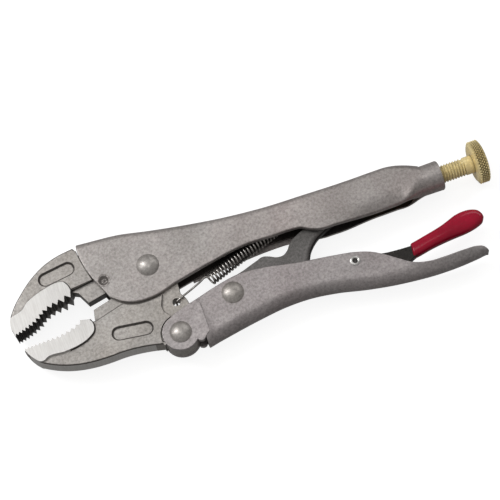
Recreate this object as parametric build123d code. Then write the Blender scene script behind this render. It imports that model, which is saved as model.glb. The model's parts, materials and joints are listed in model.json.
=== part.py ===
"""Curved-jaw locking pliers, 10 inch class, lying on their side.

Frame: +X runs from the jaws to the adjusting knob, parallel to the adjusting screw.
+Y points to the back of the fixed handle. +Z is the thickness of the tool.
The origin lies on the axis of the jaw pivot rivet, on the flat of its rear head.
Shapes are drawn about the middle plane of the tool and lifted into place when written.
"""

import os
from math import atan2, cos, degrees, hypot, radians, sin

from build123d import *

# Driving dimensions, in millimetres.
SHEET = 2.5  # steel sheet of both handles
HANDLE_STATIONS = 26  # cross-sections along each handle
TANG_HALF = 3.8  # half thickness of the jaws between the cheeks
FORGED_HALF = 5.0  # half thickness of the forged jaw bodies
GROUND_HALF = 6.2  # half thickness of the ground, toothed pads
SLIDE_GAP = 0.05  # clearance each side between sliding faces
CHEEK_IN = TANG_HALF + SLIDE_GAP
CHEEK_OUT = CHEEK_IN + SHEET
REAR_OUT = 7.4  # half width of the fixed handle behind the link
BODY_OUT = 5.85  # half width of the moving handle behind its ears
BODY_IN = BODY_OUT - SHEET

RIVET_R = 4.0
RIVET_HEAD_R = 5.8
RIVET_HEAD_H = 2.25
RUNNING_FIT = 0.05  # radial clearance of every turning hole
REST_HEIGHT = CHEEK_OUT + RIVET_HEAD_H

JAW_PIVOT = (0.0, 0.0)
HANDLE_PIVOT = (4.3, -39.4)
LINK_PIVOT = (35.2, -28.7)
LEVER_PIVOT = (97.8, -34.4)
SPRING_HOLE = (7.3, -22.9)
SPRING_HOLE_R = 2.4

SCREW_Y = -3.9
THREAD_R = 4.65
THREAD_PITCH = 1.5
THREAD_DEPTH = 0.8
TUBE_R = 7.5
TUBE_FRONT_X = 146.0
TUBE_REAR_X = 155.8
COLLAR_X = 168.4
KNOB_X = 172.8
KNOB_THICKNESS = 6.2
KNOB_R = 11.1
KNOB_CHAMFER = 0.9
LINK_SCREW_GAP = 1.9  # room for the link end to swing past its mean place

LINK_HALF = 3.25
LINK_WALL = 1.8
LINK_END_R = 4.4
LINK_EYE_R = 7.8

LEVER_HALF = 2.2
GRIP_HALF = 3.5
LEVER_PIN_R = 2.0
LEVER_PIN_BORE_R = 1.1
LEVER_PIN_HEAD_R = 2.7
LEVER_PIN_HEAD_H = 0.45

SPRING_R = 3.45
SPRING_WIRE_R = 0.55
SPRING_ANGLE = 19.0  # degrees
SPRING_START = 20.2  # along the spring, from the hole in the jaw
SPRING_LENGTH = 42.0
ANCHOR_DISTANCE = 74.7
ANCHOR_TAB_HALF = 0.9
ANCHOR_HOLE_R = 1.3
JAW_HOOK_HEIGHT = 4.6  # each hook's legs pass on both faces of what they hold
TAB_HOOK_HEIGHT = 1.9

EAR_R = 9.3
LUG_R = 12.5
LUG_CLEARANCE = 0.8
POCKET_R = 3.4
POCKET_DEPTH = 1.2
WELD_AT = (-23.4, -0.1)
WELD_R = 2.6
STOP_HALF = 3.0  # half thickness of the fixed jaw's stop block


def plate(points, half, z_mid=0.0):
    """A flat plate of a closed outline, of a half thickness about a middle height."""
    outline = make_face(Polyline(*points, close=True))
    return Pos(0, 0, z_mid) * extrude(outline, amount=half, both=True)


def disc(centre, radius, half):
    """A round plate about the middle plane."""
    return Pos(centre[0], centre[1], 0) * Cylinder(radius, 2 * half)


def both_sides(solid):
    """A solid and its mirror image in the middle plane."""
    return solid + mirror(solid, about=Plane.XY)


def toggle_direction():
    """The unit vector from the handle pivot to the link pivot: a straight toggle when locked."""
    dx = LINK_PIVOT[0] - HANDLE_PIVOT[0]
    dy = LINK_PIVOT[1] - HANDLE_PIVOT[1]
    length = hypot(dx, dy)
    return dx / length, dy / length


def link_end():
    """Where the straight toggle meets the axis of the adjusting screw."""
    ux, uy = toggle_direction()
    reach = (SCREW_Y - LINK_PIVOT[1]) / uy
    return LINK_PIVOT[0] + reach * ux, SCREW_Y


def arc_points(centre, radius, start, stop, steps):
    """Points along an arc, its angles in degrees."""
    step = (stop - start) / steps
    angles = [radians(start + step * i) for i in range(steps + 1)]
    return [(centre[0] + radius * cos(a), centre[1] + radius * sin(a)) for a in angles]


def curve_points(through, steps):
    """Evenly spaced points of a smooth curve through the given points."""
    curve = Spline(*through)
    return [tuple(curve @ (i / steps))[:2] for i in range(steps + 1)]


def teeth_points(through, count, growth, depth, side):
    """A saw edge along a smooth curve, fine at its start, coarser and deeper towards its end."""
    curve = Spline(*through)
    pitches = [growth**i for i in range(count)]
    total = sum(pitches)
    points = []
    travelled = 0.0
    for pitch in pitches:
        root = curve @ (travelled / total)
        middle = (travelled + 0.55 * pitch) / total
        tip = curve @ middle
        along = curve % middle
        reach = depth * pitch / pitches[-1]
        points.append((root.X, root.Y))
        points.append((tip.X - side * reach * along.Y, tip.Y + side * reach * along.X))
        travelled += pitch
    points.append(tuple(curve @ 1.0)[:2])
    return points


def channel_section(x, half_width, top, bottom, top_radius, bottom_radius):
    """A closed rounded cross-section of a handle at one place along the tool."""
    corners = [
        (x, bottom, half_width),
        (x, top, half_width),
        (x, top, -half_width),
        (x, bottom, -half_width),
    ]
    radii = [bottom_radius, top_radius, top_radius, bottom_radius]
    return make_face(FilletPolyline(*corners, radius=radii, close=True))


# Fixed handle: the back line from the front corner to the threaded tube.
BACK_LINE = [
    (-34.0, 24.1),
    (-9.1, 21.9),
    (22.0, 15.6),
    (42.4, 12.2),
    (63.2, 10.1),
    (84.5, 9.1),
    (110.0, 8.6),
    (124.0, 8.4),
    (135.5, 7.5),
]
FRONT_EDGE = [(-30.6, 24.6), (-31.3, 19.8), (-30.0, 10.1), (-28.1, 2.5), (-24.6, -4.5), (-22.6, -9.6)]
CHEEK_ARC = [(-22.6, -9.6), (-13.5, -15.8), (-6.5, -16.9), (1.1, -16.2), (9.3, -14.0), (17.2, -12.2)]
LIP_LINE = [(17.2, -12.2), (30.0, -9.9), (52.0, -7.0), (68.0, -7.2), (76.5, -7.9), (82.0, -10.2), (88.0, -12.4)]
REAR_LIP_Y = -12.9


def rear_half_width(x):
    """The fixed handle is narrow over the jaws and widens to clear the screw."""
    share = min(max((x - 62.0) / 28.0, 0.0), 1.0)
    smooth = share * share * (3 - 2 * share)
    return CHEEK_OUT + (REAR_OUT - CHEEK_OUT) * smooth


def handle_blank(shrink, bottom, corner):
    """The handle's outer form, or with a shrink the cavity within it, along the back line."""
    stations = [
        channel_section(x, rear_half_width(x) - shrink, y - shrink, bottom, corner, 0.6)
        for x, y in curve_points(BACK_LINE, HANDLE_STATIONS)
    ]
    return loft(stations)


def fixed_handle():
    body = handle_blank(0.0, -20.0, 4.0)
    x_end, y_end = BACK_LINE[-1]
    shoulder = [
        channel_section(x_end, REAR_OUT, y_end, REAR_LIP_Y, 4.0, 2.2),
        channel_section(142.0, REAR_OUT, 5.6, -12.2, 6.0, 5.5),
        channel_section(TUBE_FRONT_X, TUBE_R, SCREW_Y + TUBE_R, SCREW_Y - TUBE_R, 7.4, 7.4),
    ]
    lower = curve_points(FRONT_EDGE, 16) + curve_points(CHEEK_ARC, 24)[1:] + curve_points(LIP_LINE, 24)[1:]
    lower = lower + [(96.0, REAR_LIP_Y), (x_end, REAR_LIP_Y)]
    side_view = lower + [(x_end, 30.0), (-30.6, 30.0)]
    body = body & plate(side_view, 12.0)
    body = body + loft(shoulder)
    tube_length = TUBE_REAR_X - TUBE_FRONT_X
    tube = Cylinder(TUBE_R, tube_length)
    tube = chamfer(tube.faces().sort_by(Axis.Z)[-1].edges(), 1.4)
    tube_place = Pos(TUBE_FRONT_X + tube_length / 2, SCREW_Y, 0) * Rot(0, 90, 0)
    body = body + tube_place * tube
    body = body - handle_blank(SHEET, -40.0, 2.4)
    rear_in = REAR_OUT - SHEET
    closing = [
        channel_section(x_end - 0.5, rear_in, y_end - SHEET, -40.0, 2.4, 0.5),
        channel_section(TUBE_FRONT_X - 4.0, rear_in, SCREW_Y + rear_in + 0.6, -40.0, 4.4, 0.5),
    ]
    body = body - loft(closing)
    bore = Pos(150.0, SCREW_Y, 0) * Rot(0, 90, 0) * Cylinder(THREAD_R + RUNNING_FIT, 40.0)
    body = body - bore
    body = body - disc(JAW_PIVOT, RIVET_R, 12.0)
    for side in (1, -1):
        hole = Pos(WELD_AT[0], WELD_AT[1], side * (CHEEK_OUT + CHEEK_IN) / 2) * Cylinder(WELD_R, SHEET + 1.0)
        body = body - hole
    anchor_x, anchor_y = spring_point(ANCHOR_DISTANCE)
    tab = Pos(anchor_x + 0.6, anchor_y + 2.2, 0) * Box(5.6, 9.6, 2 * ANCHOR_TAB_HALF)
    body = body + tab
    body = body - disc((anchor_x, anchor_y), ANCHOR_HOLE_R, 4.0)
    return body


def plug_welds():
    """Weld metal that fills a hole in each cheek, a little below the sheet's surface."""
    metal_half = (SHEET - 0.9) / 2
    metal = Pos(WELD_AT[0], WELD_AT[1], CHEEK_IN + metal_half) * Cylinder(WELD_R, 2 * metal_half)
    return both_sides(metal)


# Jaw outlines, in the closed position.
UPPER_BACK = [(-33.2, 22.9), (-41.4, 21.8), (-49.6, 19.3), (-58.2, 14.3), (-65.3, 8.2)]
UPPER_NOSE = [(-65.3, 8.2), (-70.9, 2.1), (-74.0, -3.2), (-74.6, -7.0), (-73.5, -12.4)]
UPPER_TEETH = [(-73.5, -12.4), (-68.3, -10.6), (-63.0, -8.3), (-55.8, -3.2), (-49.1, -1.3), (-42.6, 0.1)]
LOWER_TEETH = [(-71.3, -20.1), (-60.0, -21.2), (-52.0, -21.0), (-45.0, -19.4), (-40.6, -16.6)]
LOWER_BACK = [(-71.3, -20.1), (-71.0, -22.4), (-69.1, -26.1), (-66.3, -29.6), (-61.1, -33.1)]
LOWER_BELLY = [(-61.1, -33.1), (-55.2, -35.8), (-48.5, -37.8), (-41.0, -39.0), (-32.9, -39.4)]
LOWER_HEEL = [(-32.9, -39.4), (-24.9, -39.3), (-12.4, -40.7), (-5.1, -42.4)]


def upper_mouth():
    """The toothed edge of the fixed jaw, then its plain throat."""
    saw = teeth_points(UPPER_TEETH, 13, 1.075, 2.5, -1)
    return saw + [(-41.5, -2.0)]


def pocket_pair(first, second):
    """The same shallow rounded pocket in both faces of a forged jaw."""
    dx = second[0] - first[0]
    dy = second[1] - first[1]
    shape = SlotCenterToCenter(hypot(dx, dy), 2 * POCKET_R)
    middle_x = (first[0] + second[0]) / 2
    middle_y = (first[1] + second[1]) / 2
    turn = Rot(0, 0, degrees(atan2(dy, dx)))
    cut = Pos(middle_x, middle_y, FORGED_HALF - POCKET_DEPTH) * turn * extrude(shape, amount=4.0)
    return both_sides(cut)


def fixed_jaw():
    back = curve_points(UPPER_BACK, 16)
    nose = curve_points(UPPER_NOSE, 12)[1:]
    head = back + nose + upper_mouth()[1:] + [(-40.9, 0.8), (-28.7, 2.9), (-30.4, 10.6), (-31.9, 20.6)]
    body = plate(head, FORGED_HALF)
    pad_edge = [(-72.6, -2.4), (-67.1, -0.9), (-62.9, 2.6), (-58.7, 4.6), (-52.6, 6.4), (-46.2, 7.4)]
    pad_edge = curve_points(pad_edge, 16) + [(-43.0, 6.8), (-41.3, 4.2), (-40.6, 0.9)]
    pad = upper_mouth() + pad_edge[::-1] + [(-74.0, -3.9), (-74.6, -7.2)]
    body = body + plate(pad, GROUND_HALF)
    stop = [(-40.9, 0.8), (-37.4, -0.9), (-34.1, -7.9), (-25.3, -6.3), (-22.0, -5.5), (-24.0, 5.0), (-36.0, 6.0)]
    body = body + plate(stop, STOP_HALF)
    tang = [(-29.3, 6.0), (-27.4, 1.6), (-24.0, -5.6), (-23.8, -6.0), (-12.0, -3.4), (0.0, 0.0)]
    tang = tang + [(0.0, 14.8), (-12.0, 16.9), (-31.0, 18.3)]
    tang_plate = plate(tang, TANG_HALF) - disc(JAW_PIVOT, LUG_R + LUG_CLEARANCE, 6.0)
    body = body + tang_plate
    return body - pocket_pair((-51.4, 10.5), (-38.8, 12.3))


def moving_jaw():
    saw = teeth_points(LOWER_TEETH, 12, 1.07, 1.6, 1)
    belly = curve_points(LOWER_BACK, 10) + curve_points(LOWER_BELLY, 10)[1:] + curve_points(LOWER_HEEL, 8)[1:]
    ear_relief = arc_points(HANDLE_PIVOT, EAR_R + 0.5, 199.0, 98.0, 16)
    shoulder = [(0.2, -25.6), (-0.5, -23.0), (1.0, -17.2), (-6.5, -17.9), (-13.8, -16.9), (-19.0, -14.2)]
    head = belly + ear_relief + shoulder + [(-33.6, -18.0), (-36.4, -17.0)] + saw[::-1][:-1]
    body = plate(head, FORGED_HALF)
    pad_edge = [(-36.4, -17.0), (-35.0, -20.0), (-35.6, -23.2), (-39.4, -26.4), (-45.1, -28.2)]
    pad_edge = pad_edge + [(-52.6, -28.8), (-61.3, -28.6), (-65.2, -30.1)]
    pad_front = curve_points(LOWER_BACK[:4], 8)[::-1]
    pad = saw[::-1][:-1] + pad_front[::-1] + curve_points(pad_edge[1:], 20)[::-1] + [(-36.4, -17.0)]
    body = body + plate(pad, GROUND_HALF)
    tail = arc_points(HANDLE_PIVOT, EAR_R - 0.2, 200.0, 380.0, 24)
    tang = [(-33.4, -18.0), (-32.8, -12.2), (-25.2, -10.3), (-12.2, -6.0)]
    tang = tang[::-1] + [(-20.0, -30.0), (-8.0, -41.6)] + tail
    tang = tang + [(13.3, -30.0), (13.1, -25.6), (12.3, -22.0), (10.6, -19.2), (12.0, -6.0)]
    body = body + plate(tang, TANG_HALF) + disc(JAW_PIVOT, LUG_R, TANG_HALF)
    body = body - pocket_pair((-24.6, -28.9), (-11.2, -30.9))
    body = body - disc(SPRING_HOLE, SPRING_HOLE_R, 8.0)
    body = body - disc(JAW_PIVOT, RIVET_R + RUNNING_FIT, 8.0)
    return body - disc(HANDLE_PIVOT, RIVET_R + RUNNING_FIT, 8.0)


# Moving handle: belly and lip heights along the tool.
BELLY_LINE = [
    (15.6, -49.7),
    (26.6, -47.7),
    (43.5, -44.9),
    (58.0, -43.2),
    (70.6, -43.2),
    (84.0, -45.1),
    (99.3, -48.8),
    (115.0, -51.7),
    (134.7, -53.5),
    (150.0, -53.1),
    (162.6, -51.6),
]
HANDLE_LIP = [
    (25.6, -23.1),
    (41.4, -20.3),
    (54.2, -21.6),
    (75.0, -25.7),
    (90.0, -28.0),
    (98.5, -29.7),
    (107.4, -32.9),
    (119.0, -41.1),
    (126.0, -45.6),
    (134.5, -47.5),
    (147.0, -47.9),
    (157.4, -48.3),
]


def moving_handle():
    belly = curve_points(BELLY_LINE, HANDLE_STATIONS)
    outer = [channel_section(x, BODY_OUT, -10.0, y, 0.5, 5.4) for x, y in belly]
    cavity_line = [(x, y) for x, y in belly if x < 158.0]
    inner = [channel_section(x, BODY_IN, 10.0, y + SHEET, 0.5, 2.9) for x, y in cavity_line]
    lead = channel_section(10.0, BODY_IN, 10.0, -48.0, 0.5, 2.9)
    lips = curve_points(HANDLE_LIP, 48)
    nose = [(160.6, -49.2), (162.4, -51.1), (162.6, -60.0)]
    side_view = [(13.4, -60.0), (15.6, -49.7), (13.8, -47.2), (13.4, -26.3)] + lips + nose
    body = (loft(outer) & plate(side_view, 12.0)) - loft([lead, inner[0]]) - loft(inner)
    ear_lower = arc_points(HANDLE_PIVOT, EAR_R, 102.0, 318.0, 30)
    ear = ear_lower + [(12.0, -46.4), (13.8, -47.2), (18.6, -44.0), (18.6, -25.0), (12.3, -26.7)]
    ear_plate = plate(ear, SHEET / 2, CHEEK_IN + SHEET / 2)
    body = body + both_sides(ear_plate)
    body = body - disc(HANDLE_PIVOT, RIVET_R, 12.0)
    body = body - disc(LINK_PIVOT, RIVET_R, 12.0)
    return body - disc(LEVER_PIVOT, LEVER_PIN_R, 12.0)


def rivet(centre, grip_half):
    """A shank with a domed near head and a flat-topped rear head."""
    shank = Cylinder(RIVET_R, 2 * grip_half)
    dome_radius = (RIVET_HEAD_R**2 + RIVET_HEAD_H**2) / (2 * RIVET_HEAD_H)
    ball = Pos(0, 0, grip_half + RIVET_HEAD_H - dome_radius) * Sphere(dome_radius)
    slab = Pos(0, 0, grip_half + RIVET_HEAD_H / 2) * Cylinder(RIVET_HEAD_R, RIVET_HEAD_H)
    rear = Cone(RIVET_HEAD_R - 1.9, RIVET_HEAD_R, RIVET_HEAD_H)
    rear_place = Pos(0, 0, -grip_half - RIVET_HEAD_H / 2)
    return Pos(centre[0], centre[1], 0) * (shank + (ball & slab) + rear_place * rear)


def lever_pin():
    """A small tubular rivet, rolled over outside both walls of the handle."""
    shank = Cylinder(LEVER_PIN_R, 2 * BODY_OUT)
    head = Pos(0, 0, BODY_OUT + LEVER_PIN_HEAD_H / 2) * Cylinder(LEVER_PIN_HEAD_R, LEVER_PIN_HEAD_H)
    pin = shank + both_sides(head) - Cylinder(LEVER_PIN_BORE_R, 4 * BODY_OUT)
    return Pos(LEVER_PIVOT[0], LEVER_PIVOT[1], 0) * pin


def adjusting_screw():
    """Screw and knob, turned as one profile about the screw axis. The thread shows as rings."""
    tip = link_end()[0] + LINK_END_R + LINK_SCREW_GAP
    root = THREAD_R - THREAD_DEPTH
    profile = [(tip, 0.0), (tip, root), (tip + 1.2, THREAD_R)]
    turns = int((COLLAR_X - TUBE_REAR_X) / THREAD_PITCH)
    start = COLLAR_X - turns * THREAD_PITCH
    for i in range(turns):
        x = start + i * THREAD_PITCH
        profile.append((x, THREAD_R))
        profile.append((x + THREAD_PITCH / 2, root))
    rear = KNOB_X + KNOB_THICKNESS
    profile = profile + [(COLLAR_X, THREAD_R), (KNOB_X, THREAD_R), (KNOB_X, KNOB_R - KNOB_CHAMFER)]
    profile = profile + [(KNOB_X + KNOB_CHAMFER, KNOB_R), (rear - KNOB_CHAMFER, KNOB_R)]
    profile = profile + [(rear, KNOB_R - KNOB_CHAMFER), (rear, 0.0)]
    half_section = make_face(Polyline(*profile, close=True))
    return Pos(0, SCREW_Y, 0) * revolve(half_section, Axis.X)


def toggle_link():
    """A folded link: two side plates joined by a rounded back that faces the moving handle."""
    end_x, end_y = link_end()
    angle = degrees(atan2(toggle_direction()[1], toggle_direction()[0]))
    eye = arc_points(LINK_PIVOT, LINK_EYE_R, angle + 90.0, angle + 262.0, 20)
    nose = arc_points((end_x, end_y), LINK_END_R, angle - 100.0, angle + 90.0, 20)
    back = [(44.0, -36.2), (62.0, -35.0), (71.5, -31.6), (77.3, -25.2), (80.4, -18.9), (87.7, -13.9)]
    front = [(92.0, -3.6), (81.0, -7.6), (72.7, -11.0), (69.6, -13.6), (65.6, -17.4), (62.4, -17.7)]
    front = front + [(58.8, -15.8), (55.4, -14.9), (48.2, -17.0)]
    outline = eye + back + nose + front
    body = plate(outline, LINK_HALF)
    inside_half = LINK_HALF - LINK_WALL
    hollow = [(20.0, -33.0), (44.0, -33.9), (61.0, -32.6), (69.6, -29.8), (75.0, -24.2), (78.4, -17.9)]
    hollow = hollow + [(86.4, -12.0), (96.0, -9.2), (96.0, 5.0), (20.0, 5.0)]
    body = body - plate(hollow, inside_half)
    return body - disc(LINK_PIVOT, RIVET_R + RUNNING_FIT, 8.0)


LEVER_ARM = [(90.2, -31.4), (86.6, -33.0), (86.4, -36.0), (92.0, -38.8), (104.0, -41.5), (114.0, -44.9)]
LEVER_NECK_LOW = [(114.0, -44.9), (120.5, -45.0), (126.0, -42.4)]
LEVER_NECK_TOP = [(127.0, -35.2), (120.0, -35.0), (112.0, -34.0), (104.0, -31.2), (97.8, -29.6), (90.2, -31.4)]
GRIP_TOP = [(127.0, -34.0), (136.2, -32.2), (145.3, -30.2), (153.2, -27.5), (157.8, -26.8)]
GRIP_END = [(157.8, -26.8), (162.6, -27.3), (166.6, -30.2), (167.2, -33.6), (164.0, -36.4)]
GRIP_LOW = [(164.0, -36.4), (155.0, -38.3), (144.1, -39.3), (133.2, -41.0), (126.0, -42.6)]
STEEL_TOP = [(127.0, -36.0), (136.0, -34.6), (145.1, -32.8), (152.9, -30.2), (157.6, -29.2)]
STEEL_LOW = [(161.0, -34.8), (155.0, -36.2), (144.1, -37.5), (133.2, -39.5), (126.4, -41.2)]


def lever_outline():
    arm = curve_points(LEVER_ARM, 20) + curve_points(LEVER_NECK_LOW, 6)[1:]
    steel = STEEL_LOW[::-1] + [(162.6, -31.8)] + STEEL_TOP[::-1]
    return arm + steel + curve_points(LEVER_NECK_TOP, 20)[:-1]


def release_lever():
    body = plate(lever_outline(), LEVER_HALF)
    return body - disc(LEVER_PIVOT, LEVER_PIN_R + RUNNING_FIT, 8.0)


def lever_grip():
    """Soft plastic dipped over the lever's tail."""
    outline = curve_points(GRIP_TOP, 12) + curve_points(GRIP_END, 10)[1:] + curve_points(GRIP_LOW, 12)[1:]
    coat = plate(outline, GRIP_HALF)
    coat = chamfer(coat.edges().group_by(Axis.Z)[-1], 0.9)
    coat = chamfer(coat.edges().group_by(Axis.Z)[0], 0.9)
    return coat - plate(lever_outline(), LEVER_HALF)


def spring_point(distance):
    """A point of the spring's axis, at a distance from the hole in the jaw."""
    angle = radians(SPRING_ANGLE)
    return SPRING_HOLE[0] + distance * cos(angle), SPRING_HOLE[1] + distance * sin(angle)


def spring_wire(path):
    """Round wire along a bent path, given as distances along the spring and heights."""
    points = [(*spring_point(distance), height) for distance, height in path]
    line = FilletPolyline(*points, radius=1.3)
    section = Plane(origin=line @ 0, z_dir=line % 0) * Circle(SPRING_WIRE_R)
    return sweep(section, line)


def tension_spring():
    """The coil as one sleeve of its outer form, with the bent wire of both hooks."""
    middle = spring_point(SPRING_START + SPRING_LENGTH / 2)
    turn = Rot(0, 0, SPRING_ANGLE) * Rot(0, 90, 0)
    sleeve = Cylinder(SPRING_R, SPRING_LENGTH) - Cylinder(SPRING_R - 2 * SPRING_WIRE_R, 2 * SPRING_LENGTH)
    body = Pos(middle[0], middle[1], 0) * turn * sleeve
    coil_height = SPRING_R - SPRING_WIRE_R
    front_end = SPRING_START + 2.0
    rear_end = SPRING_START + SPRING_LENGTH - 2.0
    front_hook = [(front_end, coil_height), (14.0, JAW_HOOK_HEIGHT), (0.0, JAW_HOOK_HEIGHT)]
    front_hook = front_hook + [(0.0, -JAW_HOOK_HEIGHT), (5.0, -JAW_HOOK_HEIGHT)]
    rear_hook = [(rear_end, coil_height), (68.0, TAB_HOOK_HEIGHT), (ANCHOR_DISTANCE, TAB_HOOK_HEIGHT)]
    rear_hook = rear_hook + [(ANCHOR_DISTANCE, -TAB_HOOK_HEIGHT), (70.0, -TAB_HOOK_HEIGHT)]
    return body + spring_wire(front_hook) + spring_wire(rear_hook)


MAKERS = {
    "fixed_handle": fixed_handle,
    "fixed_jaw": fixed_jaw,
    "plug_welds": plug_welds,
    "jaw_pivot_rivet": lambda: rivet(JAW_PIVOT, CHEEK_OUT),
    "adjusting_screw": adjusting_screw,
    "moving_jaw": moving_jaw,
    "moving_handle": moving_handle,
    "handle_pivot_rivet": lambda: rivet(HANDLE_PIVOT, CHEEK_OUT),
    "link_rivet": lambda: rivet(LINK_PIVOT, BODY_OUT),
    "toggle_link": toggle_link,
    "release_lever": release_lever,
    "lever_grip": lever_grip,
    "lever_pin": lever_pin,
    "tension_spring": tension_spring,
}


def main():
    os.makedirs("parts", exist_ok=True)
    for name, make in MAKERS.items():
        solid = Pos(0, 0, REST_HEIGHT) * make()
        export_step(solid, f"parts/{name}.step")
        print(name, len(solid.solids()), round(solid.volume))


main()
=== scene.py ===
# %% [markdown]
# # Locking pliers, built piece by piece
# The tool lies on its side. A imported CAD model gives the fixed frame: its bodies, joints and the
# exact places of every pivot. Each cell makes one piece or one finish on top of that frame.

import json
from math import atan2, cos, pi, radians, sin, sqrt

import bmesh
import bpy
import numpy as np
from mathutils import Matrix, Vector


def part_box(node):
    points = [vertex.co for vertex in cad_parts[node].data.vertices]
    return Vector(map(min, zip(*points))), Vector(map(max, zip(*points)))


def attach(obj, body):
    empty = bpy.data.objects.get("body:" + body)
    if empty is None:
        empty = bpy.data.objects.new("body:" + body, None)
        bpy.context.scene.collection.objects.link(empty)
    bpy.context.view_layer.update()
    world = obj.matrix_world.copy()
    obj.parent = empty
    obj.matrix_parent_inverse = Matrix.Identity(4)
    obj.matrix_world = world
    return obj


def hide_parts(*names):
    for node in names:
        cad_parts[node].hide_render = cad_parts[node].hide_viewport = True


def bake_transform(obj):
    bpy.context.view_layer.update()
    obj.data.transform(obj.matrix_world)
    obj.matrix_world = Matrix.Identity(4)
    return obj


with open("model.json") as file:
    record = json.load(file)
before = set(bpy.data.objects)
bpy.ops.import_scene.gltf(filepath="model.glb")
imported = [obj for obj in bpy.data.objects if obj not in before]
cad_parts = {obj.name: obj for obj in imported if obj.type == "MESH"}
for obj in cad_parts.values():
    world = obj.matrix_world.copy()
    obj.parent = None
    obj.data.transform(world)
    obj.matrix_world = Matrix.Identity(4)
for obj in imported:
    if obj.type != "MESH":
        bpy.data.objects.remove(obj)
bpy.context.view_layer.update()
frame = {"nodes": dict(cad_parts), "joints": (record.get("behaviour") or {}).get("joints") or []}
MM = 0.001
MID = frame["joints"][0]["pos_m"][2]

# %% [markdown]
# ## Shared sizes
# Half widths are measured from the middle plane. Pivots and holes are places in that plane.

# %% Shared sizes
SHEET = 2.5
FORGED_HALF, PAD_HALF, TAIL_HALF = 5.0, 6.2, 3.78
FRONT_HALF, BELLY_HALF = 6.35, 5.85
RIVET_R, LEVER_PIN_R, WELD_HOLE_R, FIT = 4.0, 2.0, 2.6, 0.05
SCREW_Y = -3.9
HANDLE_PIVOT = (4.3, -39.4)
LINK_PIVOT = (35.2, -28.7)
LEVER_PIVOT = (97.8, -34.4)
SPRING_HOLE = (7.3, -22.9)
WELD = (-23.4, -0.1)
print("sheet", SHEET, "mm; pads", 2 * PAD_HALF, "mm thick")

# %% [markdown]
# ## Small helpers
# Every outline is given in millimetres about the middle plane of the tool, as a maker would draw
# it. A smooth path runs a cubic through a few drawn points, so an outline needs only those.

# %% Helpers for paths
def smooth_path(points, count):
    """Even points of a smooth curve through the drawn points."""
    p = np.array(points, float)
    steps = np.linalg.norm(np.diff(p, axis=0), axis=1)
    t = np.concatenate([[0.0], np.cumsum(steps)])
    slope = np.gradient(p, t, axis=0)
    s = np.linspace(0.0, t[-1], count)
    k = np.clip(np.searchsorted(t, s, side="right") - 1, 0, len(t) - 2)
    h = (t[k + 1] - t[k])[:, None]
    u = ((s - t[k]) / (t[k + 1] - t[k]))[:, None]
    a = (1 + 2 * u) * (1 - u) ** 2 * p[k] + u * (1 - u) ** 2 * h * slope[k]
    return a + u**2 * (3 - 2 * u) * p[k + 1] + u**2 * (u - 1) * h * slope[k + 1]


def arc(centre, radius, start, stop, count):
    """Points of an arc, angles in degrees."""
    a = np.radians(np.linspace(start, stop, count))
    return np.stack([centre[0] + radius * np.cos(a), centre[1] + radius * np.sin(a)], axis=1)


def joined(*runs):
    """Runs of points end to end as one closed outline, without doubled points."""
    p = np.concatenate([np.array(run, float).reshape(-1, 2) for run in runs])
    keep = [i for i in range(len(p)) if np.linalg.norm(p[i] - p[i - 1]) > 0.02]
    return p[keep]


def ease(x, low, high):
    """0 below low, 1 above high, smooth between."""
    u = np.clip((np.asarray(x, float) - low) / (high - low), 0.0, 1.0)
    return u * u * (3 - 2 * u)


# %% Helpers for meshes
def placed(name, data):
    """A new object of some data, linked into the scene."""
    obj = bpy.data.objects.new(name, data)
    bpy.context.scene.collection.objects.link(obj)
    return obj


def ring_faces(count, n):
    """Quads between rings of n points each, one ring after another."""
    quads = []
    for r in range(count - 1):
        for i in range(n):
            j = (i + 1) % n
            quads.append((r * n + i, r * n + j, (r + 1) * n + j, (r + 1) * n + i))
    return quads
def to_object(name, verts, faces, second=()):
    """A mesh object from points in millimetres about the middle plane.

    second says for the first faces which of them take the piece's second material.
    """
    mesh = bpy.data.meshes.new(name)
    v = np.array(verts, float) * MM
    v[:, 2] += MID
    mesh.from_pydata(v.tolist(), [], [list(f) for f in faces])
    for f, is_second in zip(mesh.polygons, second):
        f.material_index = int(is_second)
    work = bmesh.new()
    work.from_mesh(mesh)
    bmesh.ops.remove_doubles(work, verts=work.verts, dist=2e-6)
    bmesh.ops.dissolve_degenerate(work, edges=work.edges, dist=1e-6)
    bmesh.ops.recalc_face_normals(work, faces=work.faces)
    work.to_mesh(mesh)
    work.free()
    mesh.validate()
    return placed(name, mesh)


def ring_solid(name, rings):
    """A closed solid from equal rings of points, one after another."""
    n = len(rings[0])
    verts = np.concatenate(rings)
    faces = ring_faces(len(rings), n)
    faces.append(list(range(n))[::-1])
    faces.append([(len(rings) - 1) * n + i for i in range(n)])
    return to_object(name, verts, faces)


def inward(outline):
    """For each point of an outline, the direction into it, longer at sharp corners."""
    before = outline - np.roll(outline, 1, axis=0)
    after = np.roll(outline, -1, axis=0) - outline
    turn = lambda e: np.stack([-e[:, 1], e[:, 0]], axis=1) / np.linalg.norm(e, axis=1)[:, None]
    n0, n1 = turn(before), turn(after)
    mean = n0 + n1
    mean /= np.maximum(np.linalg.norm(mean, axis=1), 0.3)[:, None]
    stretch = 1.0 / np.maximum(np.sum(mean * n0, axis=1), 0.75)
    area = np.sum(outline[:, 0] * np.roll(outline[:, 1], -1) - outline[:, 1] * np.roll(outline[:, 0], -1))
    return mean * stretch[:, None] * (1.0 if area > 0 else -1.0)


def plate(name, outline, steps, weight=None):
    """A plate of an outline. steps lists (inset, height) rings from the bottom up."""
    outline = np.array(outline, float)
    into = inward(outline)
    if weight is not None:
        into = into * np.array(weight)[:, None]
    rings = []
    for inset, z in steps:
        flat = outline + into * inset
        rings.append(np.column_stack([flat, np.full(len(flat), z)]))
    return ring_solid(name, rings)


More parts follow.
